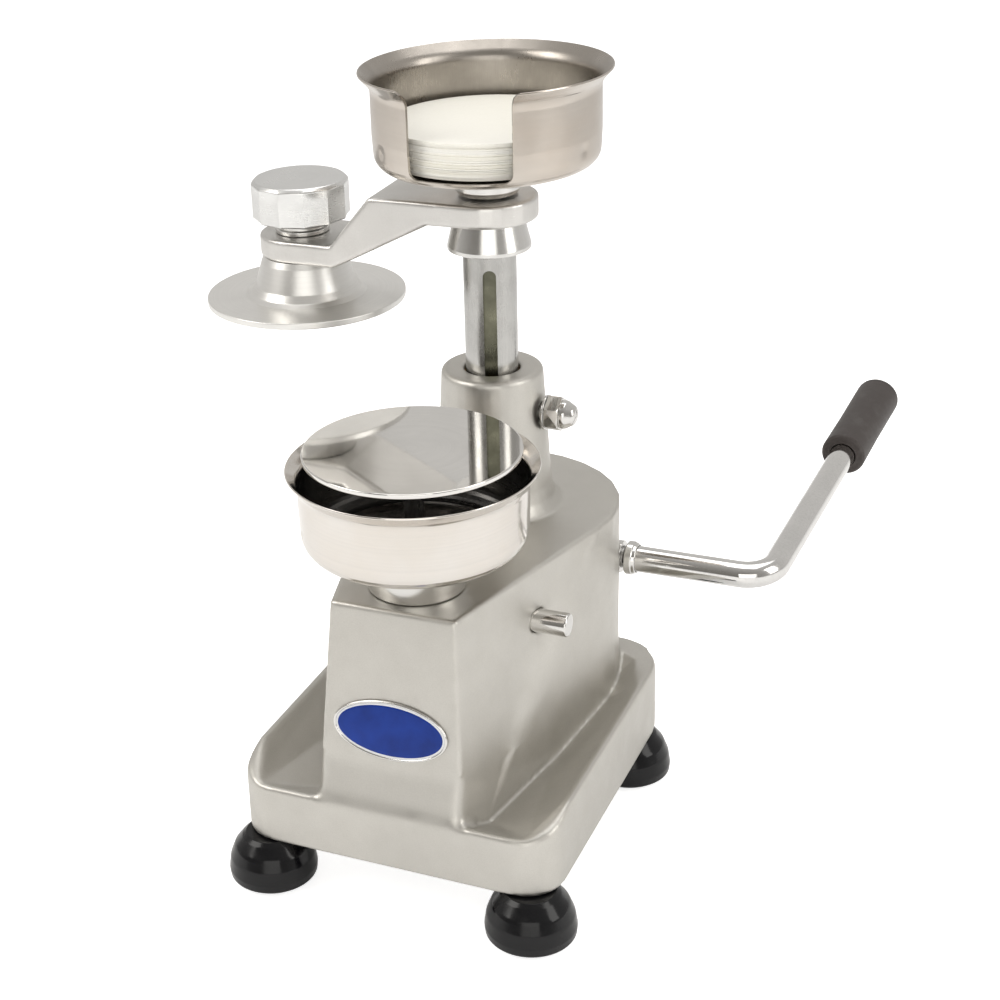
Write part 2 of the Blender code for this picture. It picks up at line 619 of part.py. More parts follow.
def add_badge(root):
    """A plain oval plate in a bright frame on the leaning front of the body."""
    lean = math.atan2(BODY_FRONT_TOP_Y - BASE_FRONT, BODY_TOP - BASE_BOTTOM)
    front_y = BASE_FRONT + (BODY_FRONT_TOP_Y - BASE_FRONT) * (BADGE_Z - BASE_BOTTOM) / (BODY_TOP -
                                                                                        BASE_BOTTOM)
    turn = (math.pi / 2 - lean, 0.0, 0.0)
    at = (0.0, front_y, BADGE_Z)
    outer = ellipse(BADGE_HALF_WIDTH, BADGE_HALF_HEIGHT, 40)
    inner = ellipse(BADGE_HALF_WIDTH - 2.0 * MM, BADGE_HALF_HEIGHT - 2.0 * MM, 40)
    frame = add_object("badge_frame", prism(outer, GAP, 1.8 * MM), root, at, turn, "polished_steel")
    combine(frame, add_object("badge_recess_cutter", prism(inner, 0.8 * MM, 3.0 * MM), root, at, turn))
    plate = ellipse(BADGE_HALF_WIDTH - 2.3 * MM, BADGE_HALF_HEIGHT - 2.3 * MM, 40)
    add_object("badge_plate", prism(plate, 1.1 * MM, 1.6 * MM), root, at, turn, "blue_enamel")


def ellipse(half_width, half_height, count):
    return [(half_width * math.cos(2 * math.pi * step / count),
             half_height * math.sin(2 * math.pi * step / count))
            for step in range(count)]


# ------------------------------------------------------------------ handle, shaft, pinion and crank
def pinion_outline():
    """Involute teeth, thinned by the backlash; the first tooth points along +x."""
    base_r = PINION_PITCH_R * math.cos(PRESSURE_ANGLE)
    tip_r = PINION_PITCH_R + ADDENDUM
    root_r = PINION_PITCH_R - DEDENDUM
    half_tooth = math.pi / 2 / PINION_TEETH - BACKLASH / PINION_PITCH_R
    pitch_roll = math.tan(PRESSURE_ANGLE) - PRESSURE_ANGLE
    flank = []
    start_r = max(base_r, root_r)
    for step in range(4):
        radius = start_r + (tip_r - start_r) * step / 3
        roll = math.acos(min(base_r / radius, 1.0))
        flank.append((radius, half_tooth + pitch_roll - (math.tan(roll) - roll)))
    points = []
    for tooth in range(PINION_TEETH):
        centre = 2 * math.pi * tooth / PINION_TEETH
        points.append((root_r, centre - flank[0][1] * 1.12))
        points += [(radius, centre - angle) for radius, angle in flank]
        points += [(radius, centre + angle) for radius, angle in reversed(flank)]
        points.append((root_r, centre + flank[0][1] * 1.12))
    return [(radius * math.cos(angle), radius * math.sin(angle)) for radius, angle in points]


def add_handle(pivot):
    at = (0.0, SHAFT_Y, SHAFT_Z)
    shaft = cylinder(SHAFT_R, -BUSH_OUTER_END - 5.0 * MM, COLLAR_X - 1.0 * MM, 24, 0.8 * MM)
    shaft_item = add_object("drive_shaft", shaft, pivot, at, ALONG_X, "ground_steel")
    groove = ring(SHAFT_R - 1.2 * MM, SHAFT_R + 2.0 * MM, -BUSH_OUTER_END - 3.2 * MM,
                  -BUSH_OUTER_END - 1.4 * MM, 24)
    combine(shaft_item, add_object("clip_groove_cutter", groove, pivot, at, ALONG_X))
    clip = ring(SHAFT_R - 0.8 * MM, SHAFT_R + 2.6 * MM, -BUSH_OUTER_END - 2.9 * MM,
                -BUSH_OUTER_END - 1.7 * MM, 24)
    clip_item = add_object("shaft_clip", clip, pivot, at, ALONG_X, "dark_steel")
    mouth = prism([(0.0, -2.5 * MM), (0.02, -6.0 * MM), (0.02, 6.0 * MM), (0.0, 2.5 * MM)], -0.1, 0.0)
    combine(clip_item, add_object("clip_mouth_cutter", mouth, pivot, at, ALONG_X))
    pinion = prism(pinion_outline(), -PINION_HALF_WIDTH, PINION_HALF_WIDTH)
    # the first tooth is turned to point at the rack, towards the front
    pinion_turn = Matrix.Rotation(-math.pi / 2, 4, "Z")
    bmesh.ops.transform(pinion, matrix=pinion_turn, verts=pinion.verts)
    pinion_item = add_object("drive_pinion", pinion, pivot, at, ALONG_X, "ground_steel")
    bore = cylinder(SHAFT_R + GAP, -0.05, 0.05, 24)
    combine(pinion_item, add_object("pinion_bore_cutter", bore, pivot, at, ALONG_X))
    add_crank(pivot, at)
    collar = ring(HANDLE_R + 0.3 * MM, COLLAR_R, COLLAR_X, COLLAR_X + 7.0 * MM, 28, 0.8 * MM)
    add_object("handle_collar", collar, pivot, at, ALONG_X, "polished_steel")
    add_handle_bar(pivot)


def crank_pin_place(angle_from_down=-CRANK_HALF_SWING):
    """Where the crank's pin is, (y, z); at rest the crank lies towards the front."""
    return (SHAFT_Y + CRANK_R * math.sin(angle_from_down), SHAFT_Z - CRANK_R * math.cos(angle_from_down))


def lever_tail_place(angle_from_down=-LEVER_HALF_SWING):
    return (LEVER_PIN_Y + LEVER_TAIL * math.sin(angle_from_down),
            LEVER_PIN_Z - LEVER_TAIL * math.cos(angle_from_down))


def add_crank(pivot, at):
    pin_y, pin_z = crank_pin_place()
    outline = capsule_outline((SHAFT_Y, SHAFT_Z), 12.0 * MM, (pin_y, pin_z), 7.0 * MM)
    arm = add_object("crank_arm", side_prism(outline, CRANK_X, CRANK_X + 6.0 * MM), pivot,
                     finish="dark_steel")
    combine(arm, add_object("crank_shaft_cutter", cylinder(SHAFT_R + GAP, -0.05, 0.05, 24), pivot, at,
                            ALONG_X))
    pin_hole = cylinder(LINK_PIN_R + GAP, -0.05, 0.05, 16)
    pin_at = (0.0, pin_y, pin_z)
    combine(arm, add_object("crank_pin_cutter", pin_hole, pivot, pin_at, ALONG_X))
    pin = turned([(0.0, CRANK_X), (LINK_PIN_R, CRANK_X), (LINK_PIN_R, LINK_X + LINK_THICK + GAP),
                  (5.6 * MM, LINK_X + LINK_THICK + GAP), (5.6 * MM, LINK_X + LINK_THICK + 2.3 * MM),
                  (0.0, LINK_X + LINK_THICK + 2.3 * MM)], 16)
    add_object("crank_pin", pin, pivot, pin_at, ALONG_X, "ground_steel")


def handle_direction():
    return Vector((math.sin(HANDLE_LEAN), math.cos(HANDLE_LEAN) * math.cos(HANDLE_REST_RISE),
                   math.cos(HANDLE_LEAN) * math.sin(HANDLE_REST_RISE)))


def add_handle_bar(pivot):
    """A bent round bar: out to the right along the shaft, then away from the operator."""
    corner = Vector((HANDLE_X, SHAFT_Y, SHAFT_Z))
    heading = handle_direction()
    sideways = Vector((1.0, 0.0, 0.0))
    across = (heading - sideways * heading.x).normalized()
    bend = math.pi / 2 - HANDLE_LEAN
    centre = corner - sideways * HANDLE_BEND_R * math.tan(bend / 2) + across * HANDLE_BEND_R
    route = [Vector((COLLAR_X - 0.7 * MM, SHAFT_Y, SHAFT_Z))]
    for step in range(9):
        angle = bend * step / 8
        outwards = sideways * math.sin(angle) - across * math.cos(angle)
        route.append(centre + outwards * HANDLE_BEND_R)
    route.append(corner + heading * (GRIP_START + GRIP_LENGTH - BAR_SHORT))
    curve = bpy.data.curves.new("handle_bar", "CURVE")
    curve.dimensions = "3D"
    curve.bevel_depth = HANDLE_R
    curve.bevel_resolution = 4
    curve.use_fill_caps = True
    spline = curve.splines.new("POLY")
    spline.points.add(len(route) - 1)
    origin = Vector(pivot["from_column"])
    for point, place in zip(spline.points, route):
        point.co = (*(place - origin), 1.0)
    curve.materials.append(material_for("handle_bar", "polished_steel"))
    bar = bpy.data.objects.new("handle_bar", curve)
    bpy.context.collection.objects.link(bar)
    bar.parent = pivot
    grip_turn = heading.to_track_quat("Z", "Y").to_euler()
    grip_profile = [(HANDLE_R + 0.3 * MM, GRIP_START), (GRIP_R - 0.6 * MM, GRIP_START),
                    (GRIP_R, GRIP_START + 0.8 * MM), (GRIP_R, GRIP_START + GRIP_LENGTH),
                    (HANDLE_R + 0.3 * MM, GRIP_START + GRIP_LENGTH)]
    add_object("handle_grip", turned(grip_profile, 32), pivot, corner, grip_turn, "black_vinyl")
    cap_start = GRIP_START + GRIP_LENGTH + GAP
    cap_end = GRIP_START + GRIP_LENGTH + CAP_LENGTH
    cap_profile = [(0.0, cap_start), (GRIP_R, cap_start), (GRIP_R, cap_end - 4.0 * MM),
                   (GRIP_R - 1.5 * MM, cap_end - 1.5 * MM), (CAP_FACE_R, cap_end), (0.0, cap_end)]
    add_object("grip_cap", turned(cap_profile, 32), pivot, corner, grip_turn, "black_vinyl")


# ------------------------------------------------------------------ column, tray and papers
def rack_outline():
    """The metal to mill away behind the column, as a (y, z) outline with gaps between the teeth."""
    pitch = math.pi * MODULE
    root_y = RACK_PITCH_Y - DEDENDUM
    tip_y = RACK_PITCH_Y + ADDENDUM
    slope = math.tan(PRESSURE_ANGLE)
    first = -1
    last = math.ceil(COLUMN_TRAVEL / pitch) + 1
    points = [(tip_y, SHAFT_Z + (first - 0.5) * pitch)]
    for gap in range(first, last + 1):
        middle = SHAFT_Z + gap * pitch
        root_half = pitch / 4 - DEDENDUM * slope
        tip_half = pitch / 4 + ADDENDUM * slope
        points += [(tip_y, middle - tip_half), (root_y, middle - root_half),
                   (root_y, middle + root_half), (tip_y, middle + tip_half)]
    points += [(tip_y, SHAFT_Z + (last + 0.5) * pitch),
               (COLUMN_R + 3.0 * MM, SHAFT_Z + (last + 0.9) * pitch),
               (COLUMN_R + 3.0 * MM, SHAFT_Z + (first - 0.5) * pitch)]
    return points


def add_column(slide):
    profile = [(0.0, COLUMN_BOTTOM), (COLUMN_R - 1.0 * MM, COLUMN_BOTTOM),
               (COLUMN_R, COLUMN_BOTTOM + 1.0 * MM),
               (COLUMN_R, COLUMN_SHOULDER), (12.0 * MM, COLUMN_SHOULDER), (12.0 * MM, COLLAR_TOP),
               (SPIGOT_R, COLLAR_TOP), (SPIGOT_R, SPIGOT_TOP), (0.0, SPIGOT_TOP)]
    column = add_object("lift_column", turned(profile, 32), slide, finish="ground_steel")
    combine(column, add_object("rack_cutter", side_prism(rack_outline(), -0.03, 0.03), slide))
    straight = SLOT_WIDTH / 2
    slot_shape = capsule_outline((SLOT_BOTTOM + straight, 0.0), straight, (SLOT_TOP - straight, 0.0),
                                 straight, 8)
    slot = prism(slot_shape, COLUMN_R - SLOT_DEPTH, COLUMN_R + 5.0 * MM)
    # the capsule is drawn lying down; stand it up and face it outwards
    stand = Matrix(((0, 0, 1, 0), (0, 1, 0, 0), (1, 0, 0, 0), (0, 0, 0, 1)))
    bmesh.ops.transform(slot, matrix=stand, verts=slot.verts)
    slot_cutter = add_object("slot_cutter", slot, slide, turn=(0.0, 0.0, SLOT_AZIMUTH - math.pi / 2))
    combine(column, slot_cutter)
    screw_bore = cylinder(TRAY_SCREW_R + GAP, SPIGOT_TOP - 20.0 * MM, SPIGOT_TOP + 5.0 * MM, 16)
    combine(column, add_object("tray_screw_cutter", screw_bore, slide))
    collar = turned([(12.3 * MM, COLUMN_SHOULDER + GAP), (25.4 * MM, COLUMN_SHOULDER + GAP),
                     (25.4 * MM, COLUMN_SHOULDER + 2.0 * MM), (22.0 * MM, COLLAR_TOP - 1.0 * MM),
                     (21.0 * MM, COLLAR_TOP), (12.3 * MM, COLLAR_TOP)], 28)
    add_object("cone_collar", collar, slide, finish="machined_aluminium")
    spacer = turned([(TRAY_SCREW_R + GAP, SPIGOT_TOP + GAP), (18.0 * MM, SPIGOT_TOP + GAP),
                     (20.0 * MM, SPIGOT_TOP + 3.0 * MM), (20.0 * MM, TRAY_BASE_Z - GAP),
                     (TRAY_SCREW_R + GAP, TRAY_BASE_Z - GAP)], 32)
    add_object("tray_spacer", spacer, slide, finish="machined_aluminium")
    add_paper_tray(slide)
    head = TRAY_BASE_Z + SHEET + GAP
    screw = turned([(0.0, SPIGOT_TOP - 18.0 * MM), (TRAY_SCREW_R, SPIGOT_TOP - 18.0 * MM),
                    (TRAY_SCREW_R, head),
                    (8.0 * MM, head), (8.0 * MM, head + 1.8 * MM), (6.0 * MM, head + 2.8 * MM),
                    (0.0, head + 2.8 * MM)], 20)
    add_object("tray_screw", screw, slide, finish="ground_steel")
    stack = turned([(0.0, PAPER_BOTTOM), (PAPER_R, PAPER_BOTTOM), (PAPER_R, PAPER_TOP), (0.0, PAPER_TOP)],
                   48)
    add_object("paper_stack", stack, slide, finish="waxed_paper")


def add_paper_tray(slide):
    outside, inside = bowl_outline(TRAY_BASE_Z, TRAY_RIM_Z, TRAY_WALL_R, TRAY_RIM_R)
    profile = [(TRAY_SCREW_R + GAP, TRAY_BASE_Z)] + outside + inside
    profile += [(TRAY_SCREW_R + GAP, TRAY_BASE_Z + SHEET)]
    tray = add_object("paper_tray", turned(profile, 44), slide, finish="polished_steel")
    reach = 2 * TRAY_RIM_R
    left = (reach * math.sin(TRAY_NOTCH_LEFT), -reach * math.cos(TRAY_NOTCH_LEFT))
    right = (reach * math.sin(TRAY_NOTCH_RIGHT), -reach * math.cos(TRAY_NOTCH_RIGHT))
    wedge = prism([(0.0, 0.0), left, right], TRAY_BASE_Z + NOTCH_FLOOR, TRAY_RIM_Z + 5.0 * MM)
    combine(tray, add_object("tray_notch_cutter", wedge, slide))


# ------------------------------------------------------------------ swing arm, press plate and knob
def add_arm(pivot):
    high = ARM_HIGH
    low = ARM_LOW
    under = high - ARM_THICK
    end = -ARM_REACH - ARM_END_R - 1.0 * MM
    profile = [(ARM_HUB_R + 1.0 * MM, under), (ARM_HUB_R + 1.0 * MM, high), (-66.0 * MM, high),
               (-94.0 * MM, low),
               (end, low), (end, low - ARM_THICK), (-92.0 * MM, low - ARM_THICK), (-28.0 * MM, under)]
    arm = add_object("swing_arm", front_prism(profile, -0.04, 0.04), pivot, finish="cast_aluminium")
    plan = capsule_outline((0.0, 0.0), ARM_HUB_R, (-ARM_REACH, 0.0), ARM_END_R, 14)
    combine(arm, add_object("arm_plan_guide", prism(plan, 0.30, 0.45), pivot), "INTERSECT")
    bevel(arm, 1.6 * MM, 2, 30.0)
    combine(arm, add_object("arm_spigot_cutter", cylinder(SPIGOT_R + GAP, 0.30, 0.45, 32), pivot))
    press_at = (-ARM_REACH, 0.0, 0.0)
    combine(arm, add_object("arm_stud_cutter", cylinder(PRESS_STUD_R + GAP, 0.30, 0.45, 28), pivot,
                            press_at))
    boss_top = ARM_LOW - ARM_THICK - GAP
    plate_top = PRESS_BOTTOM + PRESS_EDGE
    stud_low = PRESS_BOTTOM + 9.0 * MM
    press = [(0.0, PRESS_BOTTOM), (PLATE_R - 0.6 * MM, PRESS_BOTTOM), (PLATE_R, PRESS_BOTTOM + 0.6 * MM),
             (PLATE_R, plate_top - 0.6 * MM), (PLATE_R - 0.6 * MM, plate_top),
             (38.0 * MM, plate_top + 0.6 * MM),
             (34.5 * MM, plate_top + 2.6 * MM), (31.5 * MM, plate_top + 7.0 * MM),
             (27.0 * MM, boss_top - 3.0 * MM),
             (25.5 * MM, boss_top), (PRESS_STUD_R + GAP, boss_top), (PRESS_STUD_R + GAP, stud_low),
             (0.0, stud_low)]
    add_object("press_plate", turned(press, 40), pivot, press_at, finish="machined_aluminium")
    stud = cylinder(PRESS_STUD_R, stud_low + GAP, KNOB_TOP - 8.0 * MM, 28, 0.8 * MM)
    add_object("press_stud", stud, pivot, press_at, finish="ground_steel")
    nut = ring(PRESS_STUD_R + GAP, 17.0 * MM, ARM_LOW + GAP, KNOB_BOTTOM - 1.0 * MM, 36, 0.8 * MM)
    add_object("press_lock_ring", nut, pivot, press_at, finish="machined_aluminium")


def add_knob(pivot):
    """A turned knob with shallow flutes around its skirt and a blind bore for the stud."""
    press_at = (-ARM_REACH, 0.0, 0.0)
    count = KNOB_FLUTES * 4
    levels = []
    skirt = [(KNOB_R - 1.5 * MM, KNOB_BOTTOM), (KNOB_R, KNOB_BOTTOM + 1.5 * MM),
             (KNOB_R, KNOB_TOP - 5.5 * MM), (KNOB_R - 0.8 * MM, KNOB_TOP - 2.6 * MM),
             (KNOB_R - 2.8 * MM, KNOB_TOP - 0.5 * MM)]
    for radius, z in skirt:
        outline = []
        for step in range(count):
            angle = 2 * math.pi * step / count
            wave = 0.5 - 0.5 * math.cos(KNOB_FLUTES * angle)
            fluted = radius - 1.5 * MM * wave ** 3
            outline.append((fluted * math.cos(angle), fluted * math.sin(angle)))
        levels.append((outline, z))
    levels.append((circle_points(KNOB_R - 6.0 * MM, count), KNOB_TOP))
    knob = add_object("press_knob", loft(levels), pivot, press_at, finish="polished_steel")
    bore = cylinder(PRESS_STUD_R + GAP, KNOB_BOTTOM - 5.0 * MM, KNOB_TOP - 7.0 * MM, 28)
    combine(knob, add_object("knob_bore_cutter", bore, pivot, press_at))


# ------------------------------------------------------------------ lift lever, link and lift plate
def add_lever(pivot, roller_pivot):
    tail_y, tail_z = lever_tail_place()
    tip_y, tip_z = lever_tip_place()
    hub = (LEVER_PIN_Y, LEVER_PIN_Z)
    reach_outline = capsule_outline(hub, 12.5 * MM, (tip_y, tip_z), 5.5 * MM)
    tail_outline = capsule_outline(hub, 12.5 * MM, (tail_y, tail_z), 7.5 * MM)
    lever = add_object("lift_lever", side_prism(reach_outline, 8.0 * MM, 16.0 * MM), pivot,
                       finish="dark_steel")
    combine(lever, add_object("lever_tail_block", side_prism(tail_outline, 8.01 * MM, 15.99 * MM), pivot),
            "UNION")
    hub_at = (0.0, LEVER_PIN_Y, LEVER_PIN_Z)
    combine(lever, add_object("lever_hub_block", cylinder(12.4 * MM, -10.0 * MM, 16.2 * MM, 20), pivot,
                              hub_at,
                              ALONG_X), "UNION")
    combine(lever, add_object("lever_hub_cutter", cylinder(LEVER_PIN_R + GAP, -0.05, 0.05, 20), pivot,
                              hub_at,
                              ALONG_X))
    tip_at = (0.0, tip_y, tip_z)
    combine(lever, add_object("lever_tip_cutter", cylinder(ROLLER_PIN_R + GAP, -0.05, 0.05, 16), pivot,
                              tip_at,
                              ALONG_X))
    tail_at = (0.0, tail_y, tail_z)
    combine(lever, add_object("lever_tail_cutter", cylinder(LINK_PIN_R + GAP, -0.05, 0.05, 16), pivot,
                              tail_at,
                              ALONG_X))
    roller_pin = turned([(0.0, -8.5 * MM), (4.4 * MM, -8.5 * MM), (4.4 * MM, -7.0 * MM),
                         (ROLLER_PIN_R, -7.0 * MM),
                         (ROLLER_PIN_R, 17.0 * MM), (0.0, 17.0 * MM)], 16)
    add_object("roller_pin", roller_pin, pivot, tip_at, ALONG_X, "ground_steel")
    link_pin = turned([(0.0, 8.0 * MM), (LINK_PIN_R, 8.0 * MM), (LINK_PIN_R, LINK_X + LINK_THICK + GAP),
                       (7.0 * MM, LINK_X + LINK_THICK + GAP), (7.0 * MM, LINK_X + LINK_THICK + 2.3 * MM),
                       (0.0, LINK_X + LINK_THICK + 2.3 * MM)], 16)
    add_object("link_pin", link_pin, pivot, tail_at, ALONG_X, "ground_steel")
    roller = ring(ROLLER_PIN_R + 0.1 * MM, ROLLER_R, -6.7 * MM, 7.5 * MM, 28, 0.6 * MM)
    add_object("lever_roller", roller, roller_pivot, tip_at, ALONG_X, "bronze")


def lever_tip_place():
    return (LEVER_PIN_Y - LEVER_REACH * math.cos(LEVER_HALF_SWING),
            LEVER_PIN_Z + LEVER_REACH * math.sin(LEVER_HALF_SWING))


def add_link(pivot):
    """A flat link from the crank pin to the lever's tail, where its eye is a tall slot.

    Its bar hangs below the crank pin, so that it passes under the shaft as the crank goes round.
    """
    crank = crank_pin_place()
    tail = lever_tail_place()
    bar_top = crank[1] - LINK_BAR_TOP
    bar_low = crank[1] - LINK_BAR_LOW
    neck = LINK_EYE_R - 0.6 * MM
    outline = [(tail[0], bar_low), (crank[0] + neck - 4.0 * MM, bar_low),
               (crank[0] + neck, bar_low + 4.0 * MM)]
    outline += arc(crank, LINK_EYE_R, 0.0, math.pi, 10)
    outline += [(crank[0] - neck, bar_top), (tail[0], bar_top)]
    link = add_object("lift_link", side_prism(outline, LINK_X, LINK_X + LINK_THICK), pivot,
                      finish="dark_steel")
    slot_rise = link_slot_rise()
    middle = tail[1] + slot_rise / 2
    head_half = slot_rise / 2 + 9.0 * MM
    head = [(tail[0] - 9.5 * MM, middle - head_half), (tail[0] + 9.5 * MM, middle - head_half),
            (tail[0] + 9.5 * MM, middle + head_half), (tail[0] - 9.5 * MM, middle + head_half)]
    head_block = side_prism(head, LINK_X + 0.01 * MM, LINK_X + LINK_THICK - 0.01 * MM)
    combine(link, add_object("link_head_block", head_block, pivot), "UNION")
    slot_half = LINK_PIN_R + 2.4 * MM
    slot_top = tail[1] + slot_rise + LINK_PIN_R + 0.8 * MM
    slot_low = tail[1] - LINK_PIN_R - 0.8 * MM
    slot = [(tail[0] - slot_half, slot_low), (tail[0] + slot_half, slot_low),
            (tail[0] + slot_half, slot_top), (tail[0] - slot_half, slot_top)]
    combine(link, add_object("link_slot_cutter", side_prism(slot, 0.0, 0.05), pivot))
    combine(link, add_object("link_pin_cutter", cylinder(LINK_PIN_R + 0.1 * MM, 0.0, 0.05, 20), pivot,
                             (0.0, crank[0], crank[1]), ALONG_X))


def link_slot_rise():
    """How far the lever's tail pin climbs in the link's eye between rest and mid stroke."""
    crank_drop = CRANK_R * (1.0 - math.cos(CRANK_HALF_SWING))
    tail_drop = LEVER_TAIL * (1.0 - math.cos(LEVER_HALF_SWING))
    return crank_drop - tail_drop


def add_lift_plate(slide):
    at = (0.0, MOULD_Y, 0.0)
    under = LIFT_PLATE_TOP - LIFT_PLATE_THICK
    plate = [(0.0, under), (PLATE_R - 0.8 * MM, under), (PLATE_R, under + 0.8 * MM),
             (PLATE_R, LIFT_PLATE_TOP - 0.8 * MM), (PLATE_R - 0.8 * MM, LIFT_PLATE_TOP),
             (0.0, LIFT_PLATE_TOP)]
    add_object("lift_plate", turned(plate, 40), slide, at, finish="polished_steel")
    hub = [(ROD_R + GAP, under - 8.0 * MM), (12.0 * MM, under - 8.0 * MM), (15.0 * MM, under - 2.0 * MM),
           (15.0 * MM, under - GAP), (ROD_R + GAP, under - GAP)]
    add_object("plate_hub", turned(hub, 28), slide, at, finish="ground_steel")
    rod_bottom = lever_tip_place()[1] + ROLLER_R + 0.5 * MM
    add_object("lift_rod", cylinder(ROD_R, rod_bottom, under - GAP, 24, 0.6 * MM), slide, at,
               finish="ground_steel")


# ------------------------------------------------------------------ the whole press
def build():
    clear_scene()
    root = empty_at("press_frame", (0.0, 0.0, 0.0))
    add_base_casting(root)
    add_feet(root)
    add_mould(root)
    add_column_guides(root)
    add_wall_fittings(root)
    add_badge(root)
    handle_pivot = empty_at("handle_pivot", (0.0, SHAFT_Y, SHAFT_Z), root)
    add_handle(handle_pivot)
    crank_y, crank_z = crank_pin_place()
    link_pivot = empty_at("link_pivot", (0.0, crank_y, crank_z), handle_pivot)
    add_link(link_pivot)
    column_slide = empty_at("column_slide", (0.0, 0.0, COLUMN_BOTTOM), root)
    add_column(column_slide)
    arm_pivot = empty_at("arm_pivot", (0.0, 0.0, ARM_HIGH), column_slide)
    add_arm(arm_pivot)
    knob_pivot = empty_at("knob_pivot", (-ARM_REACH, 0.0, KNOB_BOTTOM), arm_pivot)
    add_knob(knob_pivot)
    lever_pivot = empty_at("lever_pivot", (0.0, LEVER_PIN_Y, LEVER_PIN_Z), root)
    tip_y, tip_z = lever_tip_place()
    roller_pivot = empty_at("roller_pivot", (0.0, tip_y, tip_z), lever_pivot)
    add_lever(lever_pivot, roller_pivot)
    lift_slide = empty_at("lift_slide", (0.0, MOULD_Y, LIFT_PLATE_TOP), root)
    add_lift_plate(lift_slide)


build()
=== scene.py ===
"""The looks of the hand-lever patty press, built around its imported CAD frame."""
import json
import math
import random

import bmesh
import bpy
from mathutils import Matrix, Vector


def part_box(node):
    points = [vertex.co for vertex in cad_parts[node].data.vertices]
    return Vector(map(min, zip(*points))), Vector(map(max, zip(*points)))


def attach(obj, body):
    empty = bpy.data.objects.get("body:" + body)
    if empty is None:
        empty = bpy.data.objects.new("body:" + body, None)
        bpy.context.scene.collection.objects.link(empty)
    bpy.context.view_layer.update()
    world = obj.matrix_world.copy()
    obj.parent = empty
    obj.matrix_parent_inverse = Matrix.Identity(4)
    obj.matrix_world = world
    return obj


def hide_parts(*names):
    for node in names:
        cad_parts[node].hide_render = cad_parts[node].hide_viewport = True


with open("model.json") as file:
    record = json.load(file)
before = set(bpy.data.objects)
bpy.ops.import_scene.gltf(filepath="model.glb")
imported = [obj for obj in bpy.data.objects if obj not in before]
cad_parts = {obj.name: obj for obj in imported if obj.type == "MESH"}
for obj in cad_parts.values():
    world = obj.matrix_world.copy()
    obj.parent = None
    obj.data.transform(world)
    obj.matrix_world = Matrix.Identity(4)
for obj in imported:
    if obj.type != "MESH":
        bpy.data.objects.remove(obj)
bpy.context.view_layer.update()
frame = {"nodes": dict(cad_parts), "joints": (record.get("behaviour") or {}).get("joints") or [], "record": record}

# the lengths below are in millimetres, and follow the CAD part's
MM = 0.001
ALONG_X = (0.0, math.pi / 2, 0.0)
# the body's front leans back 22 mm over its 162 mm of height
FRONT_LEAN = math.atan2(22.0, 162.0)
BADGE_HALF_WIDTH = 36.2
BADGE_HALF_HEIGHT = 18.5
SLOT_AZIMUTH = math.radians(20.0)
SLOT_BOTTOM = 256.0
SLOT_TOP = 352.0
SLOT_HALF_WIDTH = 4.0
SLOT_DEPTH = 5.0
COLLAR_TOP = 380.0
PINION_PITCH_R = 20.8348
PINION_TEETH = 16
RACK_PITCH_Y = 12.6
RACK_MIDDLE = 150.0
PRESSURE_ANGLE = math.radians(20.0)
HANDLE_OUT = 169.0
HANDLE_RISE = math.radians(5.9)
HANDLE_LEAN = math.radians(3.5)
HANDLE_R = 8.5
HANDLE_BEND_R = 20.0
BAR_END = 245.0
GRIP_R = 15.0
GRIP_START = 165.0
GRIP_END = 252.0
TRAY_WALL_R = 67.5
NOTCH_LEFT = math.radians(-20.0)
NOTCH_RIGHT = math.radians(34.0)
NOTCH_FLOOR = 4.5
PAPER_R = 59.2
PAPER_SHEETS = 34
KNOB_FLUTES = 12
BODIES = frame["record"]["behaviour"]["bodies"]
BODY_OF = {node: body for body, nodes in BODIES.items() for node in nodes}
JOINT_AT = {joint["name"]: Vector(joint["pos_m"]) for joint in frame["joints"] if "pos_m" in joint}


def middle_of(node):
    low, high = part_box(node)
    return (low + high) / 2


COLUMN_AT = JOINT_AT["arm_swing"]
MOULD_AT = middle_of("lift_plate")
PRESS_AT = JOINT_AT["knob_turn"]
SHAFT_AT = JOINT_AT["handle_pull"]
LEVER_AT = JOINT_AT["lever_rock"]


# ------------------------------------------------------------------ shapes
def rounded_corners(corners, closed, steps=4):
    """Corners are (across, up, fillet) in millimetres; gives the outline with its fillets drawn."""
    points = []
    count = len(corners)
    for index, corner in enumerate(corners):
        here = Vector(corner[:2])
        fillet = corner[2] if len(corner) > 2 else 0.0
        if fillet == 0.0 or (not closed and index in (0, count - 1)):
            points.append(here)
            continue
        back = Vector(corners[index - 1][:2]) - here
        ahead = Vector(corners[(index + 1) % count][:2]) - here
        half = back.angle(ahead) / 2
        reach = min(fillet / math.tan(half), 0.48 * back.length, 0.48 * ahead.length)
        radius = reach * math.tan(half)
        centre = here + (back.normalized() + ahead.normalized()).normalized() * (radius / math.sin(half))
        start = here + back.normalized() * reach - centre
        end = here + ahead.normalized() * reach - centre
        first = math.atan2(start.y, start.x)
        turn = (math.atan2(end.y, end.x) - first + math.pi) % (2 * math.pi) - math.pi
        for step in range(steps + 1):
            angle = first + turn * step / steps
            points.append(centre + Vector((math.cos(angle), math.sin(angle))) * radius)
    return points


def with_support(points, closed, near=0.25, longest=None):
    """Adds points near both ends of long straight runs, so that flat faces shade flat."""
    dense = []
    count = len(points)
    for index in range(count if closed else count - 1):
        here = points[index]
        there = points[(index + 1) % count]
        run = there - here
        dense.append(here)
        if run.length > 5 * near:
            dense.append(here + run.normalized() * near)
            inner = run.length - 2 * near
            pieces = max(1, math.ceil(inner / longest)) if longest else 1
            for step in range(1, pieces):
                dense.append(here + run.normalized() * (near + inner * step / pieces))
            dense.append(there - run.normalized() * near)
    if not closed:
        dense.append(points[-1])
    return dense


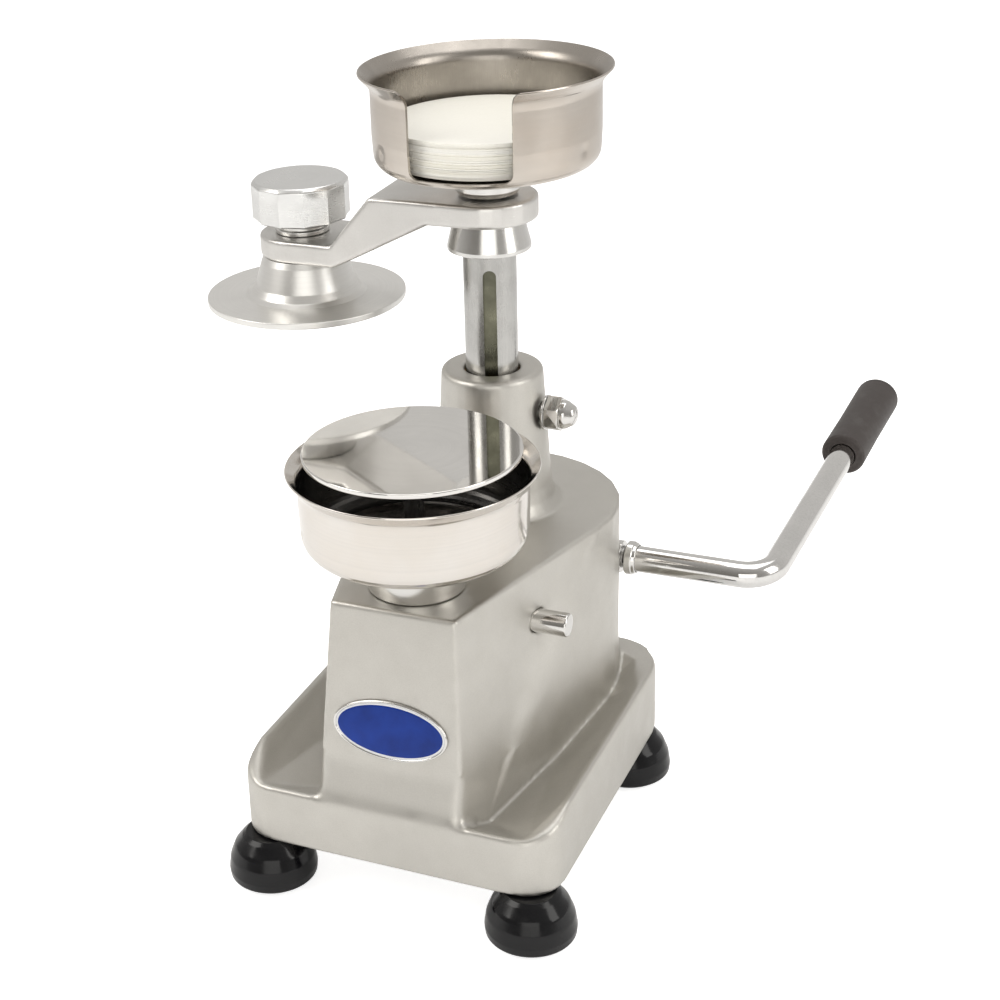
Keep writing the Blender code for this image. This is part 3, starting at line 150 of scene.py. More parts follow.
def finish_mesh(name, shape, smooth_angle=40.0):
    """A new object from the shape, smooth except at edges sharper than the angle."""
    bmesh.ops.remove_doubles(shape, verts=shape.verts, dist=1e-6)
    bmesh.ops.recalc_face_normals(shape, faces=shape.faces)
    mesh = bpy.data.meshes.new(name)
    shape.to_mesh(mesh)
    shape.free()
    mesh.shade_smooth()
    mesh.set_sharp_from_angle(angle=math.radians(smooth_angle))
    item = bpy.data.objects.new(name, mesh)
    bpy.context.scene.collection.objects.link(item)
    return item


def join_rings(shape, lower, upper):
    """Faces between two rings of points, either of which may be a single point."""
    count = max(len(lower), len(upper))
    if count == 1:
        return
    for step in range(count):
        after = (step + 1) % count
        face = [lower[step % len(lower)], lower[after % len(lower)],
                upper[after % len(upper)], upper[step % len(upper)]]
        shape.faces.new(list(dict.fromkeys(face)))


def turned_shape(corners, closed, segments, steps=4, longest=None, vary=None, shape=None):
    """A turned form about local Z; vary(angle, radius, up) may change a radius, in millimetres."""
    outline = with_support(rounded_corners(corners, closed, steps), closed, longest=longest)
    shape = shape or bmesh.new()
    rings = []
    for radius, up in outline:
        if radius < 1e-6:
            rings.append([shape.verts.new((0.0, 0.0, up * MM))])
            continue
        ring = []
        for step in range(segments):
            angle = 2 * math.pi * step / segments
            reach = vary(angle, radius, up) if vary else radius
            across, along = reach * MM * math.cos(angle), reach * MM * math.sin(angle)
            ring.append(shape.verts.new((across, along, up * MM)))
        rings.append(ring)
    pairs = list(zip(rings, rings[1:]))
    if closed:
        pairs.append((rings[-1], rings[0]))
    for lower, upper in pairs:
        join_rings(shape, lower, upper)
    return shape


def turned(name, corners, at, closed=False, segments=96, turn=None, **extra):
    """A turned piece: upright with real heights, or turned another way about its own origin."""
    item = finish_mesh(name, turned_shape(corners, closed, segments, **extra))
    item.location = (at[0], at[1], 0.0) if turn is None else at
    if turn is not None:
        item.rotation_euler = turn
    return item


def prism_shape(outline, low, high):
    """A flat outline drawn up from one height to another, in millimetres."""
    shape = bmesh.new()
    loops = []
    for height in (low, high):
        loops.append([shape.verts.new((x * MM, y * MM, height * MM)) for x, y in outline])
    shape.faces.new(list(reversed(loops[0])))
    shape.faces.new(loops[1])
    join_rings(shape, *loops)
    return shape


def apply_modifiers(item):
    graph = bpy.context.evaluated_depsgraph_get()
    mesh = bpy.data.meshes.new_from_object(item.evaluated_get(graph), depsgraph=graph)
    item.modifiers.clear()
    old = item.data
    item.data = mesh
    bpy.data.meshes.remove(old)
    return item


def cut(item, tool, operation="DIFFERENCE"):
    """Cuts the item with the tool, which is used up."""
    modifier = item.modifiers.new("cut", "BOOLEAN")
    modifier.operation = operation
    modifier.solver = "EXACT"
    modifier.object = tool
    apply_modifiers(item)
    bpy.data.objects.remove(tool, do_unlink=True)
    return item


def smooth_by_angle(item, degrees=35.0):
    item.data.shade_smooth()
    item.data.set_sharp_from_angle(angle=math.radians(degrees))
    return item


def copy_of(node, name):
    """A welded copy of a CAD node's mesh as a new object."""
    shape = bmesh.new()
    shape.from_mesh(frame["nodes"][node].data)
    bmesh.ops.remove_doubles(shape, verts=shape.verts, dist=2e-6)
    bmesh.ops.dissolve_limit(shape, angle_limit=math.radians(0.5), verts=shape.verts, edges=shape.edges)
    return finish_mesh(name, shape, 30.0)


def softened(node, name, width=0.35, segments=2, angle=28.0):
    """A CAD node's form with small rounded edges."""
    item = copy_of(node, name)
    modifier = item.modifiers.new("edges", "BEVEL")
    modifier.width = width * MM
    modifier.segments = segments
    modifier.limit_method = "ANGLE"
    modifier.angle_limit = math.radians(angle)
    modifier.use_clamp_overlap = True
    modifier.harden_normals = True
    apply_modifiers(item)
    return item


def cast_form(node, name, voxel, passes, keep=None, zones=(), added=None):
    """A CAD node's form as a casting: remeshed, with its edges worn round."""
    item = copy_of(node, name)
    if added:
        shape = bmesh.new()
        shape.from_mesh(item.data)
        shape.from_mesh(added)
        shape.to_mesh(item.data)
        shape.free()
    remesh = item.modifiers.new("remesh", "REMESH")
    remesh.mode = "VOXEL"
    remesh.voxel_size = voxel * MM
    remesh.adaptivity = 0.0
    apply_modifiers(item)
    smooth = item.modifiers.new("smooth", "SMOOTH")
    smooth.factor = 0.5
    smooth.iterations = passes
    for index, (zone, repeats) in enumerate(zones):
        group = item.vertex_groups.new(name="soft_%d" % index)
        group.add([vertex.index for vertex in item.data.vertices if zone(vertex.co)], 1.0, "REPLACE")
        softer = item.modifiers.new("softer", "SMOOTH")
        softer.factor = 0.5
        softer.iterations = repeats
        softer.vertex_group = group.name
    apply_modifiers(item)
    item.vertex_groups.clear()
    if keep:
        thin = item.modifiers.new("thin", "DECIMATE")
        thin.ratio = keep
        apply_modifiers(item)
    item.data.shade_smooth()
    return item


# ------------------------------------------------------------------ materials
class Surface:
    """A Principled material and short ways to wire its procedural detail."""

    def __init__(self, name, colour, roughness, metallic=0.0, **shader):
        self.material = bpy.data.materials.new(name)
        self.material.use_nodes = True
        self.tree = self.material.node_tree
        self.shader = self.tree.nodes["Principled BSDF"]
        self.shader.inputs["Base Color"].default_value = (*colour, 1.0)
        self.shader.inputs["Roughness"].default_value = roughness
        self.shader.inputs["Metallic"].default_value = metallic
        for socket, value in shader.items():
            self.shader.inputs[socket.replace("_", " ")].default_value = value
        self.place = self.node("TexCoord").outputs["Object"]

    def node(self, kind, inputs=None, **settings):
        made = self.tree.nodes.new("ShaderNode" + kind)
        for key, value in settings.items():
            setattr(made, key, value)
        for key, value in (inputs or {}).items():
            self.feed(made.inputs[key], value)
        return made

    def feed(self, socket, value):
        if isinstance(value, bpy.types.NodeSocket):
            self.tree.links.new(value, socket)
        else:
            socket.default_value = value

    def maths(self, operation, first, second=0.0):
        return self.node("Math", {0: first, 1: second}, operation=operation).outputs[0]

    def noise(self, scale, detail=3.0, place=None, roughness=0.55):
        inputs = {"Vector": place or self.place, "Scale": scale, "Detail": detail, "Roughness": roughness}
        return self.node("TexNoise", inputs).outputs["Fac"]

    def stretched(self, across, along, up):
        return self.node("Mapping", {"Vector": self.place, "Scale": (across, along, up)}).outputs[0]

    def spread(self, value, low, high, out_low, out_high):
        inputs = {"Value": value, "From Min": low, "From Max": high, "To Min": out_low, "To Max": out_high}
        return self.node("MapRange", inputs).outputs[0]

    def blend(self, share, first, second):
        made = self.node("Mix", data_type="RGBA")
        self.feed(made.inputs[0], share)
        for socket, colour in ((made.inputs[6], first), (made.inputs[7], second)):
            self.feed(socket, colour if isinstance(colour, bpy.types.NodeSocket) else (*colour, 1.0))
        return made.outputs[2]

    def around(self, wander=0.00015):
        """(distance from the axis, up, little turn), for marks left by turning or spinning."""
        parts = self.node("SeparateXYZ", {0: self.place})
        flat = self.node("CombineXYZ", {0: parts.outputs[0], 1: parts.outputs[1], 2: 0.0}).outputs[0]
        radius = self.node("VectorMath", {0: flat}, operation="LENGTH").outputs["Value"]
        shake = self.spread(self.noise(30.0, 1.0), 0.0, 1.0, -wander, wander)
        radius = self.maths("ADD", radius, shake)
        height = self.maths("ADD", parts.outputs[2], shake)
        return self.node("CombineXYZ", {0: radius, 1: 0.0, 2: height}).outputs[0]

    def bump(self, height, strength, distance, under=None):
        inputs = {"Height": height, "Strength": strength, "Distance": distance}
        if under is not None:
            inputs["Normal"] = under
        return self.node("Bump", inputs).outputs[0]

    def set(self, **sockets):
        for socket, value in sockets.items():
            self.feed(self.shader.inputs[socket.replace("_", " ")], value)
        return self.material


def darker(colour, share):
    return tuple(part * share for part in colour)


def turned_metal(name, colour, roughness, lines=1400.0, depth=0.12, spread=0.08, grip=0.0, tint=None):
    """Spun or turned metal: rings of fine tool marks, faint smudges and small scratches."""
    surface = Surface(name, colour, roughness, 1.0, Anisotropic=grip)
    rings = surface.noise(lines, 2.0, surface.around())
    broad = surface.noise(lines * 0.11, 2.0, surface.around())
    smudge = surface.noise(26.0, 4.0)
    scratch = surface.noise(900.0, 2.0, surface.stretched(0.2, 1.0, 0.35), 0.7)
    mixed = surface.maths("ADD", surface.maths("MULTIPLY", rings, 0.65),
                          surface.maths("MULTIPLY", broad, 0.35))
    base = surface.blend(surface.spread(smudge, 0.35, 0.75, 0.0, 1.0), colour, tint or darker(colour, 0.9))
    shade = surface.blend(surface.spread(mixed, 0.35, 0.7, 0.0, 0.35), base, darker(colour, 0.82))
    worn = surface.maths("ADD", surface.spread(smudge, 0.3, 0.75, -spread, spread),
                         surface.spread(mixed, 0.3, 0.7, -spread * 0.6, spread * 0.6))
    rough = surface.maths("MAXIMUM", surface.maths("ADD", worn, roughness), 0.03)
    relief = surface.bump(scratch, depth * 0.3, 0.00004, surface.bump(mixed, depth, 0.00006))
    if grip:
        tangent = surface.node("Tangent", direction_type="RADIAL", axis="Z").outputs[0]
        surface.set(Tangent=tangent)
    return surface.set(Base_Color=shade, Roughness=rough, Normal=relief)


def cast_metal(name, colour, roughness):
    """Bead-blasted casting: fine pitting, soft mottling, a painted highlight on its sharp edges and painted shade
    in its hollows.
    """
    surface = Surface(name, colour, roughness, 1.0)
    grain = surface.noise(1500.0, 3.0, roughness=0.7)
    pits = surface.noise(420.0, 2.0)
    cloud = surface.noise(14.0, 5.0)
    patch = surface.noise(70.0, 3.0)
    edge = surface.node("NewGeometry").outputs["Pointiness"]
    base = surface.blend(surface.spread(cloud, 0.3, 0.75, 0.0, 1.0), colour, darker(colour, 0.9))
    base = surface.blend(surface.spread(grain, 0.35, 0.7, 0.0, 0.35), base, darker(colour, 0.78))
    # painted highlight: the casting's sharp edges are painted a lighter colour
    base = surface.blend(surface.spread(edge, 0.52, 0.62, 0.0, 0.22), base, (0.80, 0.78, 0.74))
    # painted shade: the casting's hollows and creases are painted darker
    base = surface.blend(surface.spread(edge, 0.48, 0.42, 0.0, 0.35), base, darker(colour, 0.62))
    rough = surface.maths("ADD", surface.spread(patch, 0.3, 0.7, -0.05, 0.06), roughness)
    rough = surface.maths("ADD", surface.spread(grain, 0.3, 0.7, -0.04, 0.05), rough)
    relief = surface.bump(grain, 0.16, 0.00010, surface.bump(pits, 0.12, 0.00012))
    return surface.set(Base_Color=base, Roughness=rough, Normal=relief)


def plain_metal(name, colour, roughness, direction=(1.0, 1.0, 1.0), depth=0.1, stain=0.8):
    """Ground or drawn metal, with grain that runs one way and a little oil or tarnish."""
    surface = Surface(name, colour, roughness, 1.0)
    grain = surface.noise(1600.0, 2.0, surface.stretched(*direction), 0.65)
    cloud = surface.noise(45.0, 4.0)
    base = surface.blend(surface.spread(cloud, 0.35, 0.7, 0.0, 1.0), colour, darker(colour, stain))
    base = surface.blend(surface.spread(grain, 0.4, 0.7, 0.0, 0.3), base, darker(colour, 0.75))
    rough = surface.maths("ADD", surface.spread(cloud, 0.3, 0.7, -0.05, 0.07), roughness)
    rough = surface.maths("ADD", surface.spread(grain, 0.3, 0.7, -0.03, 0.04), rough)
    return surface.set(Base_Color=base, Roughness=rough, Normal=surface.bump(grain, depth, 0.00006))


def rubber(name, colour, roughness, scale, depth, dust):
    """Moulded rubber or vinyl with a fine skin, scuffs and a trace of dust."""
    surface = Surface(name, colour, roughness, 0.0, Specular_IOR_Level=0.3, Coat_Weight=0.05,
                      Coat_Roughness=0.2)
    skin = surface.noise(scale, 3.0)
    scuff = surface.noise(60.0, 5.0, roughness=0.65)
    base = surface.blend(surface.spread(scuff, 0.5, 0.8, 0.0, dust), colour, (0.16, 0.155, 0.15))
    rough = surface.maths("ADD", surface.spread(scuff, 0.35, 0.75, -0.05, 0.18), roughness)
    return surface.set(Base_Color=base, Roughness=rough, Normal=surface.bump(skin, depth, 0.0001))


def enamel(name, colour, deep):
    """Baked enamel with a faint orange peel."""
    surface = Surface(name, colour, 0.22, 0.0, Specular_IOR_Level=0.25, Coat_Weight=0.04, Coat_Roughness=0.1)
    peel = surface.noise(260.0, 2.0)
    cloud = surface.noise(60.0, 4.0)
    base = surface.blend(surface.spread(cloud, 0.3, 0.7, 0.0, 1.0), colour, deep)
    rough = surface.spread(cloud, 0.3, 0.7, 0.3, 0.42)
    return surface.set(Base_Color=base, Roughness=rough, Normal=surface.bump(peel, 0.12, 0.00008))


def paper(name):
    """Waxed paper: long faint fibres and a slight change of tone from sheet to sheet."""
    surface = Surface(name, (0.93, 0.92, 0.87), 0.7, 0.0, Sheen_Weight=0.1)
    fibre = surface.noise(700.0, 4.0, surface.stretched(1.0, 0.25, 1.0), 0.7)
    layers = surface.noise(420.0, 1.0, surface.stretched(0.01, 0.01, 1.0))
    wax = surface.noise(35.0, 3.0)
    base = surface.blend(surface.spread(layers, 0.35, 0.65, 0.0, 1.0), (0.95, 0.94, 0.90),
                         (0.91, 0.89, 0.81))
    base = surface.blend(surface.spread(fibre, 0.4, 0.75, 0.0, 0.25), base, (0.80, 0.78, 0.70))
    rough = surface.spread(wax, 0.3, 0.7, 0.6, 0.8)
    return surface.set(Base_Color=base, Roughness=rough, Normal=surface.bump(fibre, 0.2, 0.00008))


STEEL = (0.74, 0.71, 0.675)
FINISH = {
    "cast": cast_metal("satin_casting", (0.62, 0.602, 0.562), 0.42),
    "arm_cast": cast_metal("satin_arm_casting", (0.72, 0.705, 0.68), 0.34),
    "spun": turned_metal("polished_spun_steel", STEEL, 0.13, 900.0, 0.10, 0.05, 0.35, (0.70, 0.655, 0.60)),
    "tray_outside": turned_metal("tray_steel", (0.60, 0.555, 0.505), 0.19, 900.0, 0.10, 0.06, 0.3,
                                 (0.54, 0.48, 0.42)),
    # the tray's inside: real brushed grain, with a colour darker than the outside's as painted shade
    "tray_inside": plain_metal("brushed_tray_steel_with_painted_shade", (0.44, 0.405, 0.365), 0.30, (1.0, 1.0, 0.08), 0.16,
                               0.78),
    # painted shade: a near-black steel for the bowl's inner wall, which lies in shade
    "inner_wall": turned_metal("shaded_inner_wall", (0.16, 0.155, 0.15), 0.30, 900.0, 0.20, 0.06),
    "plate": turned_metal("satin_press_plate", (0.84, 0.83, 0.805), 0.38, 1300.0, 0.10, 0.04),
    "mirror": turned_metal("mirror_steel", (0.80, 0.785, 0.76), 0.05, 1200.0, 0.03, 0.02),
    "machined": turned_metal("turned_aluminium", (0.74, 0.73, 0.71), 0.22, 1300.0, 0.20, 0.05, 0.3),
    "knob": turned_metal("knob_aluminium", (0.80, 0.80, 0.79), 0.30, 1300.0, 0.12, 0.04),
    "pin": turned_metal("plated_pins", (0.74, 0.73, 0.71), 0.12, 1500.0, 0.10, 0.05),
    "chrome": plain_metal("chromed_bar", (0.78, 0.77, 0.755), 0.08, (0.4, 0.4, 0.4), 0.04, 0.9),
    "ground": plain_metal("ground_steel", (0.50, 0.495, 0.48), 0.25, (1.0, 1.0, 0.06), 0.10, 0.86),
    "oiled": plain_metal("oiled_steel", (0.42, 0.41, 0.39), 0.30, (1.0, 0.3, 1.0), 0.12, 0.6),
    "dark": plain_metal("plain_dark_steel", (0.24, 0.235, 0.23), 0.36, (1.0, 0.2, 1.0), 0.14, 0.6),
    "grease": plain_metal("greased_slot", (0.20, 0.20, 0.15), 0.28, (1.0, 1.0, 0.2), 0.12, 0.5),
    "bronze": plain_metal("bearing_bronze", (0.58, 0.40, 0.19), 0.30, (1.0, 1.0, 0.3), 0.10, 0.65),
    "rubber": rubber("moulded_rubber", (0.005, 0.005, 0.006), 0.14, 380.0, 0.06, 0.02),
    "vinyl": rubber("vinyl_grip", (0.060, 0.051, 0.048), 0.48, 900.0, 0.30, 0.45),
    "blue": enamel("blue_enamel", (0.006, 0.040, 0.30), (0.004, 0.026, 0.20)),
    "white": enamel("white_enamel", (0.80, 0.81, 0.83), (0.72, 0.73, 0.76)),
    "paper": paper("waxed_paper_sheets"),
}


def stand_in(item, finish, *nodes, body=None):
    """The piece takes its finish, rides on the body of the nodes it stands for, and hides them."""
    item.data.materials.clear()
    item.data.materials.append(FINISH[finish])
    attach(item, body or BODY_OF[nodes[0]])
    if nodes:
        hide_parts(*nodes)
    return item


# ------------------------------------------------------------------ casting and feet
def add_casting():
    base_low, base_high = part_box("base_casting")

    def base_edge(place):
        """The base's upper edge at its front and sides."""
        if not 0.052 < place.z < 0.090:
            return False
        sides = min(place.x - base_low.x, base_high.x - place.x)
        return sides < 0.012 or place.y - base_low.y < 0.016

    def front_join(place):
        """Where the body's front runs into the base's front."""
        central = abs(place.x - COLUMN_AT.x) < 0.050
        return central and place.y - COLUMN_AT.y < -0.166 and 0.058 < place.z < 0.102

    def side_wall(place):
        """The body's side walls, but not the seats of the shaft and of the lever's pin."""
        near_shaft = math.hypot(place.y - SHAFT_AT.y, place.z - SHAFT_AT.z) < 0.016
        near_pin = math.hypot(place.y - LEVER_AT.y, place.z - LEVER_AT.z) < 0.013
        behind_front = place.y - COLUMN_AT.y > -0.148
        return behind_front and 0.094 < place.z < 0.184 and not near_shaft and not near_pin

    # a filler carries the body's front on into the base's front, with no step between them
    shape = bmesh.new()
    corners = []
    for half_width, front, height in ((46.0, -183.6, 66.0), (44.2, -175.2, 98.0)):
        for side, reach in ((-1, front), (1, front), (1, -160.0), (-1, -160.0)):
            corners.append(shape.verts.new((COLUMN_AT.x + side * half_width * MM,
                                            COLUMN_AT.y + reach * MM, height * MM)))
    bmesh.ops.convex_hull(shape, input=corners)
    filler = bpy.data.meshes.new("front_filler")
    shape.to_mesh(filler)
    shape.free()
    zones = [(base_edge, 44), (front_join, 60), (side_wall, 400)]
    casting = cast_form("base_casting", "casting_body", 1.25, 7, 0.35, zones, filler)
    stand_in(casting, "cast", "base_casting")


def add_feet():
    profile = [(0.0, 0.0), (20.5, 0.0, 1.5), (22.5, 1.2, 1.5), (27.0, 4.6, 2.5), (27.45, 9.6, 4.0),
               (26.2, 17.5, 9.0), (23.2, 25.0, 9.0), (18.0, 31.4, 4.0), (15.4, 33.6, 1.0), (4.4, 33.6),
               (4.4, 9.2), (0.0, 9.2)]
    for place in ("front_left", "front_right", "rear_left", "rear_right"):
        foot = turned("rubber_foot_" + place, profile, middle_of("foot_" + place), segments=80)
        stand_in(foot, "rubber", "foot_" + place)
        stud = softened("foot_stud_" + place, "plated_stud_" + place, 0.2)
        stand_in(stud, "dark", "foot_stud_" + place)


# ------------------------------------------------------------------ mould, lift plate, pedestal
def pressed_dimples(angles, up_at, depth, reach, side_r):
    """Small round dimples pressed into the wall, for a turned shape's vary."""
    def vary(angle, radius, up):
        if radius < side_r:
            return radius
        for middle in angles:
            away = (angle - middle + math.pi) % (2 * math.pi) - math.pi
            gap = math.hypot(away * radius, up - up_at) / reach
            if gap < 1.0:
                return radius - depth * (0.5 + 0.5 * math.cos(math.pi * gap))
        return radius
    return vary


def add_mould():
    low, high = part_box("mould_bowl")
    base = low.z / MM
    rim = high.z / MM
    rim_r = (high.x - low.x) / 2 / MM
    profile = [(6.6, base), (65.7, base, 12.0), (66.5, rim - 22.0), (66.5, rim - 9.0, 9.0),
               (rim_r, rim - 1.2, 0.5), (rim_r - 0.3, rim, 0.5), (65.0, rim - 7.6, 9.0), (65.0, rim - 22.0),
               (64.2, base + 1.5, 10.5), (6.6, base + 1.5)]
    facing = [math.radians(turn) for turn in (-22.0, 98.0, 218.0)]
    vary = pressed_dimples(facing, base + 16.0, 0.7, 4.5, 60.0)
    bowl = turned("spun_mould", profile, middle_of("mould_bowl"), True, 224, steps=7, longest=2.6, vary=vary)
    stand_in(bowl, "spun", "mould_bowl")
    # painted shade: the inner wall below the rim takes the dark finish, for the shade inside the bowl
    bowl.data.materials.append(FINISH["inner_wall"])
    for face in bowl.data.polygons:
        reach = math.hypot(face.center.x, face.center.y)
        inwards = face.normal.x * face.center.x + face.normal.y * face.center.y < 0.0
        if inwards and reach < 65.6 * MM and face.center.z < (rim - 8.0) * MM:
            face.material_index = 1
    low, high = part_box("mould_pedestal")
    base, top = low.z / MM, high.z / MM
    profile = [(6.4, base), (29.0, base, 0.8), (29.6, base + 4.0, 1.5), (33.0, top - 4.0, 2.0),
               (33.0, top, 0.4), (6.4, top)]
    pedestal = turned("mould_foot_ring", profile, middle_of("mould_pedestal"), True, 112)
    stand_in(pedestal, "machined", "mould_pedestal")
    low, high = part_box("lift_plate")
    base, top = low.z / MM, high.z / MM
    radius = (high.x - low.x) / 2 / MM
    profile = [(0.0, base), (radius, base, 0.5), (radius, top, 0.7), (0.0, top)]
    plate = turned("mirror_lift_plate", profile, MOULD_AT, segments=160, longest=6.0)
    stand_in(plate, "mirror", "lift_plate")


# ------------------------------------------------------------------ boss hardware
def add_boss_hardware():
    low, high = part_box("column_bush")
    base, top = low.z / MM, high.z / MM
    profile = [(16.5, base), (19.0, base, 0.4), (19.0, top, 0.6), (16.5, top, 0.5)]
    bush = turned("bronze_bush", profile, COLUMN_AT, True)
    key_low, key_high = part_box("guide_key")
    seat = finish_mesh("seat", prism_shape([(10.0, -3.9), (20.0, -3.9), (20.0, 3.9), (10.0, 3.9)],
                                           key_low.z / MM - 0.3, key_high.z / MM + 0.3))
    seat.location = (COLUMN_AT.x, COLUMN_AT.y, 0.0)
    seat.rotation_euler.z = SLOT_AZIMUTH - math.pi / 2
    bpy.context.view_layer.update()
    stand_in(smooth_by_angle(cut(bush, seat)), "bronze", "column_bush")
    low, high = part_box("lock_washer")
    centre = middle_of("lock_washer")
    half = (high.x - low.x) / 2 / MM
    profile = [(6.3, -half, 0.2), (11.0, -half, 0.5), (11.0, half, 0.5), (6.3, half, 0.2)]
    washer = turned("plated_washer", profile, centre, True, 72, ALONG_X)
    stand_in(washer, "pin", "lock_washer")
    low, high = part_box("acorn_nut")
    corner_r = 9.8 / math.cos(math.pi / 6)
    outline = [(corner_r * math.cos(math.pi / 3 * step), corner_r * math.sin(math.pi / 3 * step))
               for step in range(6)]
    nut = finish_mesh("plated_acorn_nut", prism_shape(outline, 0.0, 9.0))
    profile = [(0.0, -0.5), (10.2, -0.5), (11.6, 1.0), (11.6, 8.0), (9.7, 9.5), (0.0, 9.5)]
    chamfer = finish_mesh("chamfer", turned_shape(profile, False, 96))
    cut(nut, chamfer, "INTERSECT")
    length = (high.x - low.x) / MM
    shape = bmesh.new()
    shape.from_mesh(nut.data)
    profile = [(0.0, 8.6), (8.6, 8.6), (8.9, 9.6, 0.5), (8.9, length - 7.0, 6.0), (5.4, length - 0.8, 4.0),
               (0.0, length)]
    turned_shape(profile, False, 64, steps=8, shape=shape)
    shape.to_mesh(nut.data)
    shape.free()
    rounded = nut.modifiers.new("edges", "BEVEL")
    rounded.width = 0.3 * MM
    rounded.segments = 2
    rounded.limit_method = "ANGLE"
    rounded.angle_limit = math.radians(28.0)
    apply_modifiers(nut)
    nut.location = (low.x, (low.y + high.y) / 2, (low.z + high.z) / 2)
    nut.rotation_euler = ALONG_X
    stand_in(smooth_by_angle(nut, 32.0), "pin", "acorn_nut")
    low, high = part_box("lever_pin")
    reach = (high.x - low.x) / 2 / MM
    profile = [(0.0, -reach), (7.3, -reach, 1.0), (7.3, reach, 1.2), (0.0, reach)]
    pin = turned("cross_pin", profile, middle_of("lever_pin"), turn=ALONG_X, longest=20.0)
    stand_in(pin, "pin", "lever_pin")


# ------------------------------------------------------------------ badge
def oval_shape(offsets, half_width, half_height, count, capped):
    """Rings on an oval: (offset inwards, height) pairs in millimetres."""
    shape = bmesh.new()
    rings = []
    for inwards, height in offsets:
        rings.append([shape.verts.new(((half_width - inwards) * MM * math.cos(2 * math.pi * step / count),
                                       (half_height - inwards) * MM * math.sin(2 * math.pi * step / count),
                                       height * MM)) for step in range(count)])
    pairs = list(zip(rings, rings[1:]))
    if capped:
        shape.faces.new(list(reversed(rings[0])))
        shape.faces.new(rings[-1])
    else:
        pairs.append((rings[-1], rings[0]))
    for lower, upper in pairs:
        join_rings(shape, lower, upper)
    return shape


def add_badge():
    """A plain oval badge: bright rim, white line and blue enamel, with no lettering."""
    low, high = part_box("badge_frame")
    half_width = (high.x - low.x) / 2 / MM
    seat = Vector(((low.x + high.x) / 2, (low.y + high.y) / 2, (low.z + high.z) / 2))
    outwards = Vector((0.0, -math.cos(FRONT_LEAN), math.sin(FRONT_LEAN)))
    half_height = half_width * BADGE_HALF_HEIGHT / BADGE_HALF_WIDTH
    half_thick, let_in = 0.9 * MM, 0.15 * MM
    origin = seat - outwards * (half_thick + let_in)

    def place(item):
        item.location = origin
        item.rotation_euler = (math.pi / 2 - FRONT_LEAN, 0.0, 0.0)

    bead = [(0.0, 0.3), (0.0, 1.1), (0.25, 1.6), (0.8, 1.8), (1.4, 1.65), (1.7, 1.2), (1.8, 0.7), (1.8, 0.3)]
    rim = finish_mesh("badge_rim", oval_shape(bead, half_width, half_height, 128, False), 60.0)
    place(rim)
    stand_in(rim, "pin", "badge_frame")
    line = [(1.7, 0.35), (1.7, 1.2), (2.0, 1.3), (2.7, 1.3), (2.9, 1.2), (2.9, 0.35)]
    band = finish_mesh("badge_white_line", oval_shape(line, half_width, half_height, 128, False), 60.0)
    place(band)
    stand_in(band, "white", body="frame")
    dome = [(2.8, 0.35), (2.8, 1.15), (3.1, 1.3)]
    for step in range(1, 9):
        share = step / 9
        dome.append((3.1 + share * 15.2, 1.3 + 0.45 * math.sin(share * math.pi / 2)))
    face = finish_mesh("badge_blue_face", oval_shape(dome, half_width, half_height, 128, True), 50.0)
    place(face)
    stand_in(face, "blue", "badge_plate")


# ------------------------------------------------------------------ handle
def swept_tube(name, route, radius, up, segments=40, chamfer=0.8):
    """A round bar along a route, its ends chamfered; up is square to the route's plane."""
    shape = bmesh.new()
    rings = []
    stations = [(0, radius - chamfer, 0.0), (0, radius, chamfer)]
    stations += [(index, radius, 0.0) for index in range(1, len(route) - 1)]
    stations += [(len(route) - 1, radius, -chamfer), (len(route) - 1, radius - chamfer, 0.0)]
    for index, reach, shift in stations:
        before = route[max(index - 1, 0)]
        after = route[min(index + 1, len(route) - 1)]
        heading = (after - before).normalized()
        side = heading.cross(up).normalized()
        centre = route[index] + heading * shift * MM
        ring = []
        for step in range(segments):
            angle = 2 * math.pi * step / segments
            outwards = side * math.cos(angle) + up * math.sin(angle)
            ring.append(shape.verts.new(centre + outwards * reach * MM))
        rings.append(ring)
    shape.faces.new(rings[0])
    shape.faces.new(list(reversed(rings[-1])))
    for lower, upper in zip(rings, rings[1:]):
        join_rings(shape, lower, upper)
    return finish_mesh(name, shape)


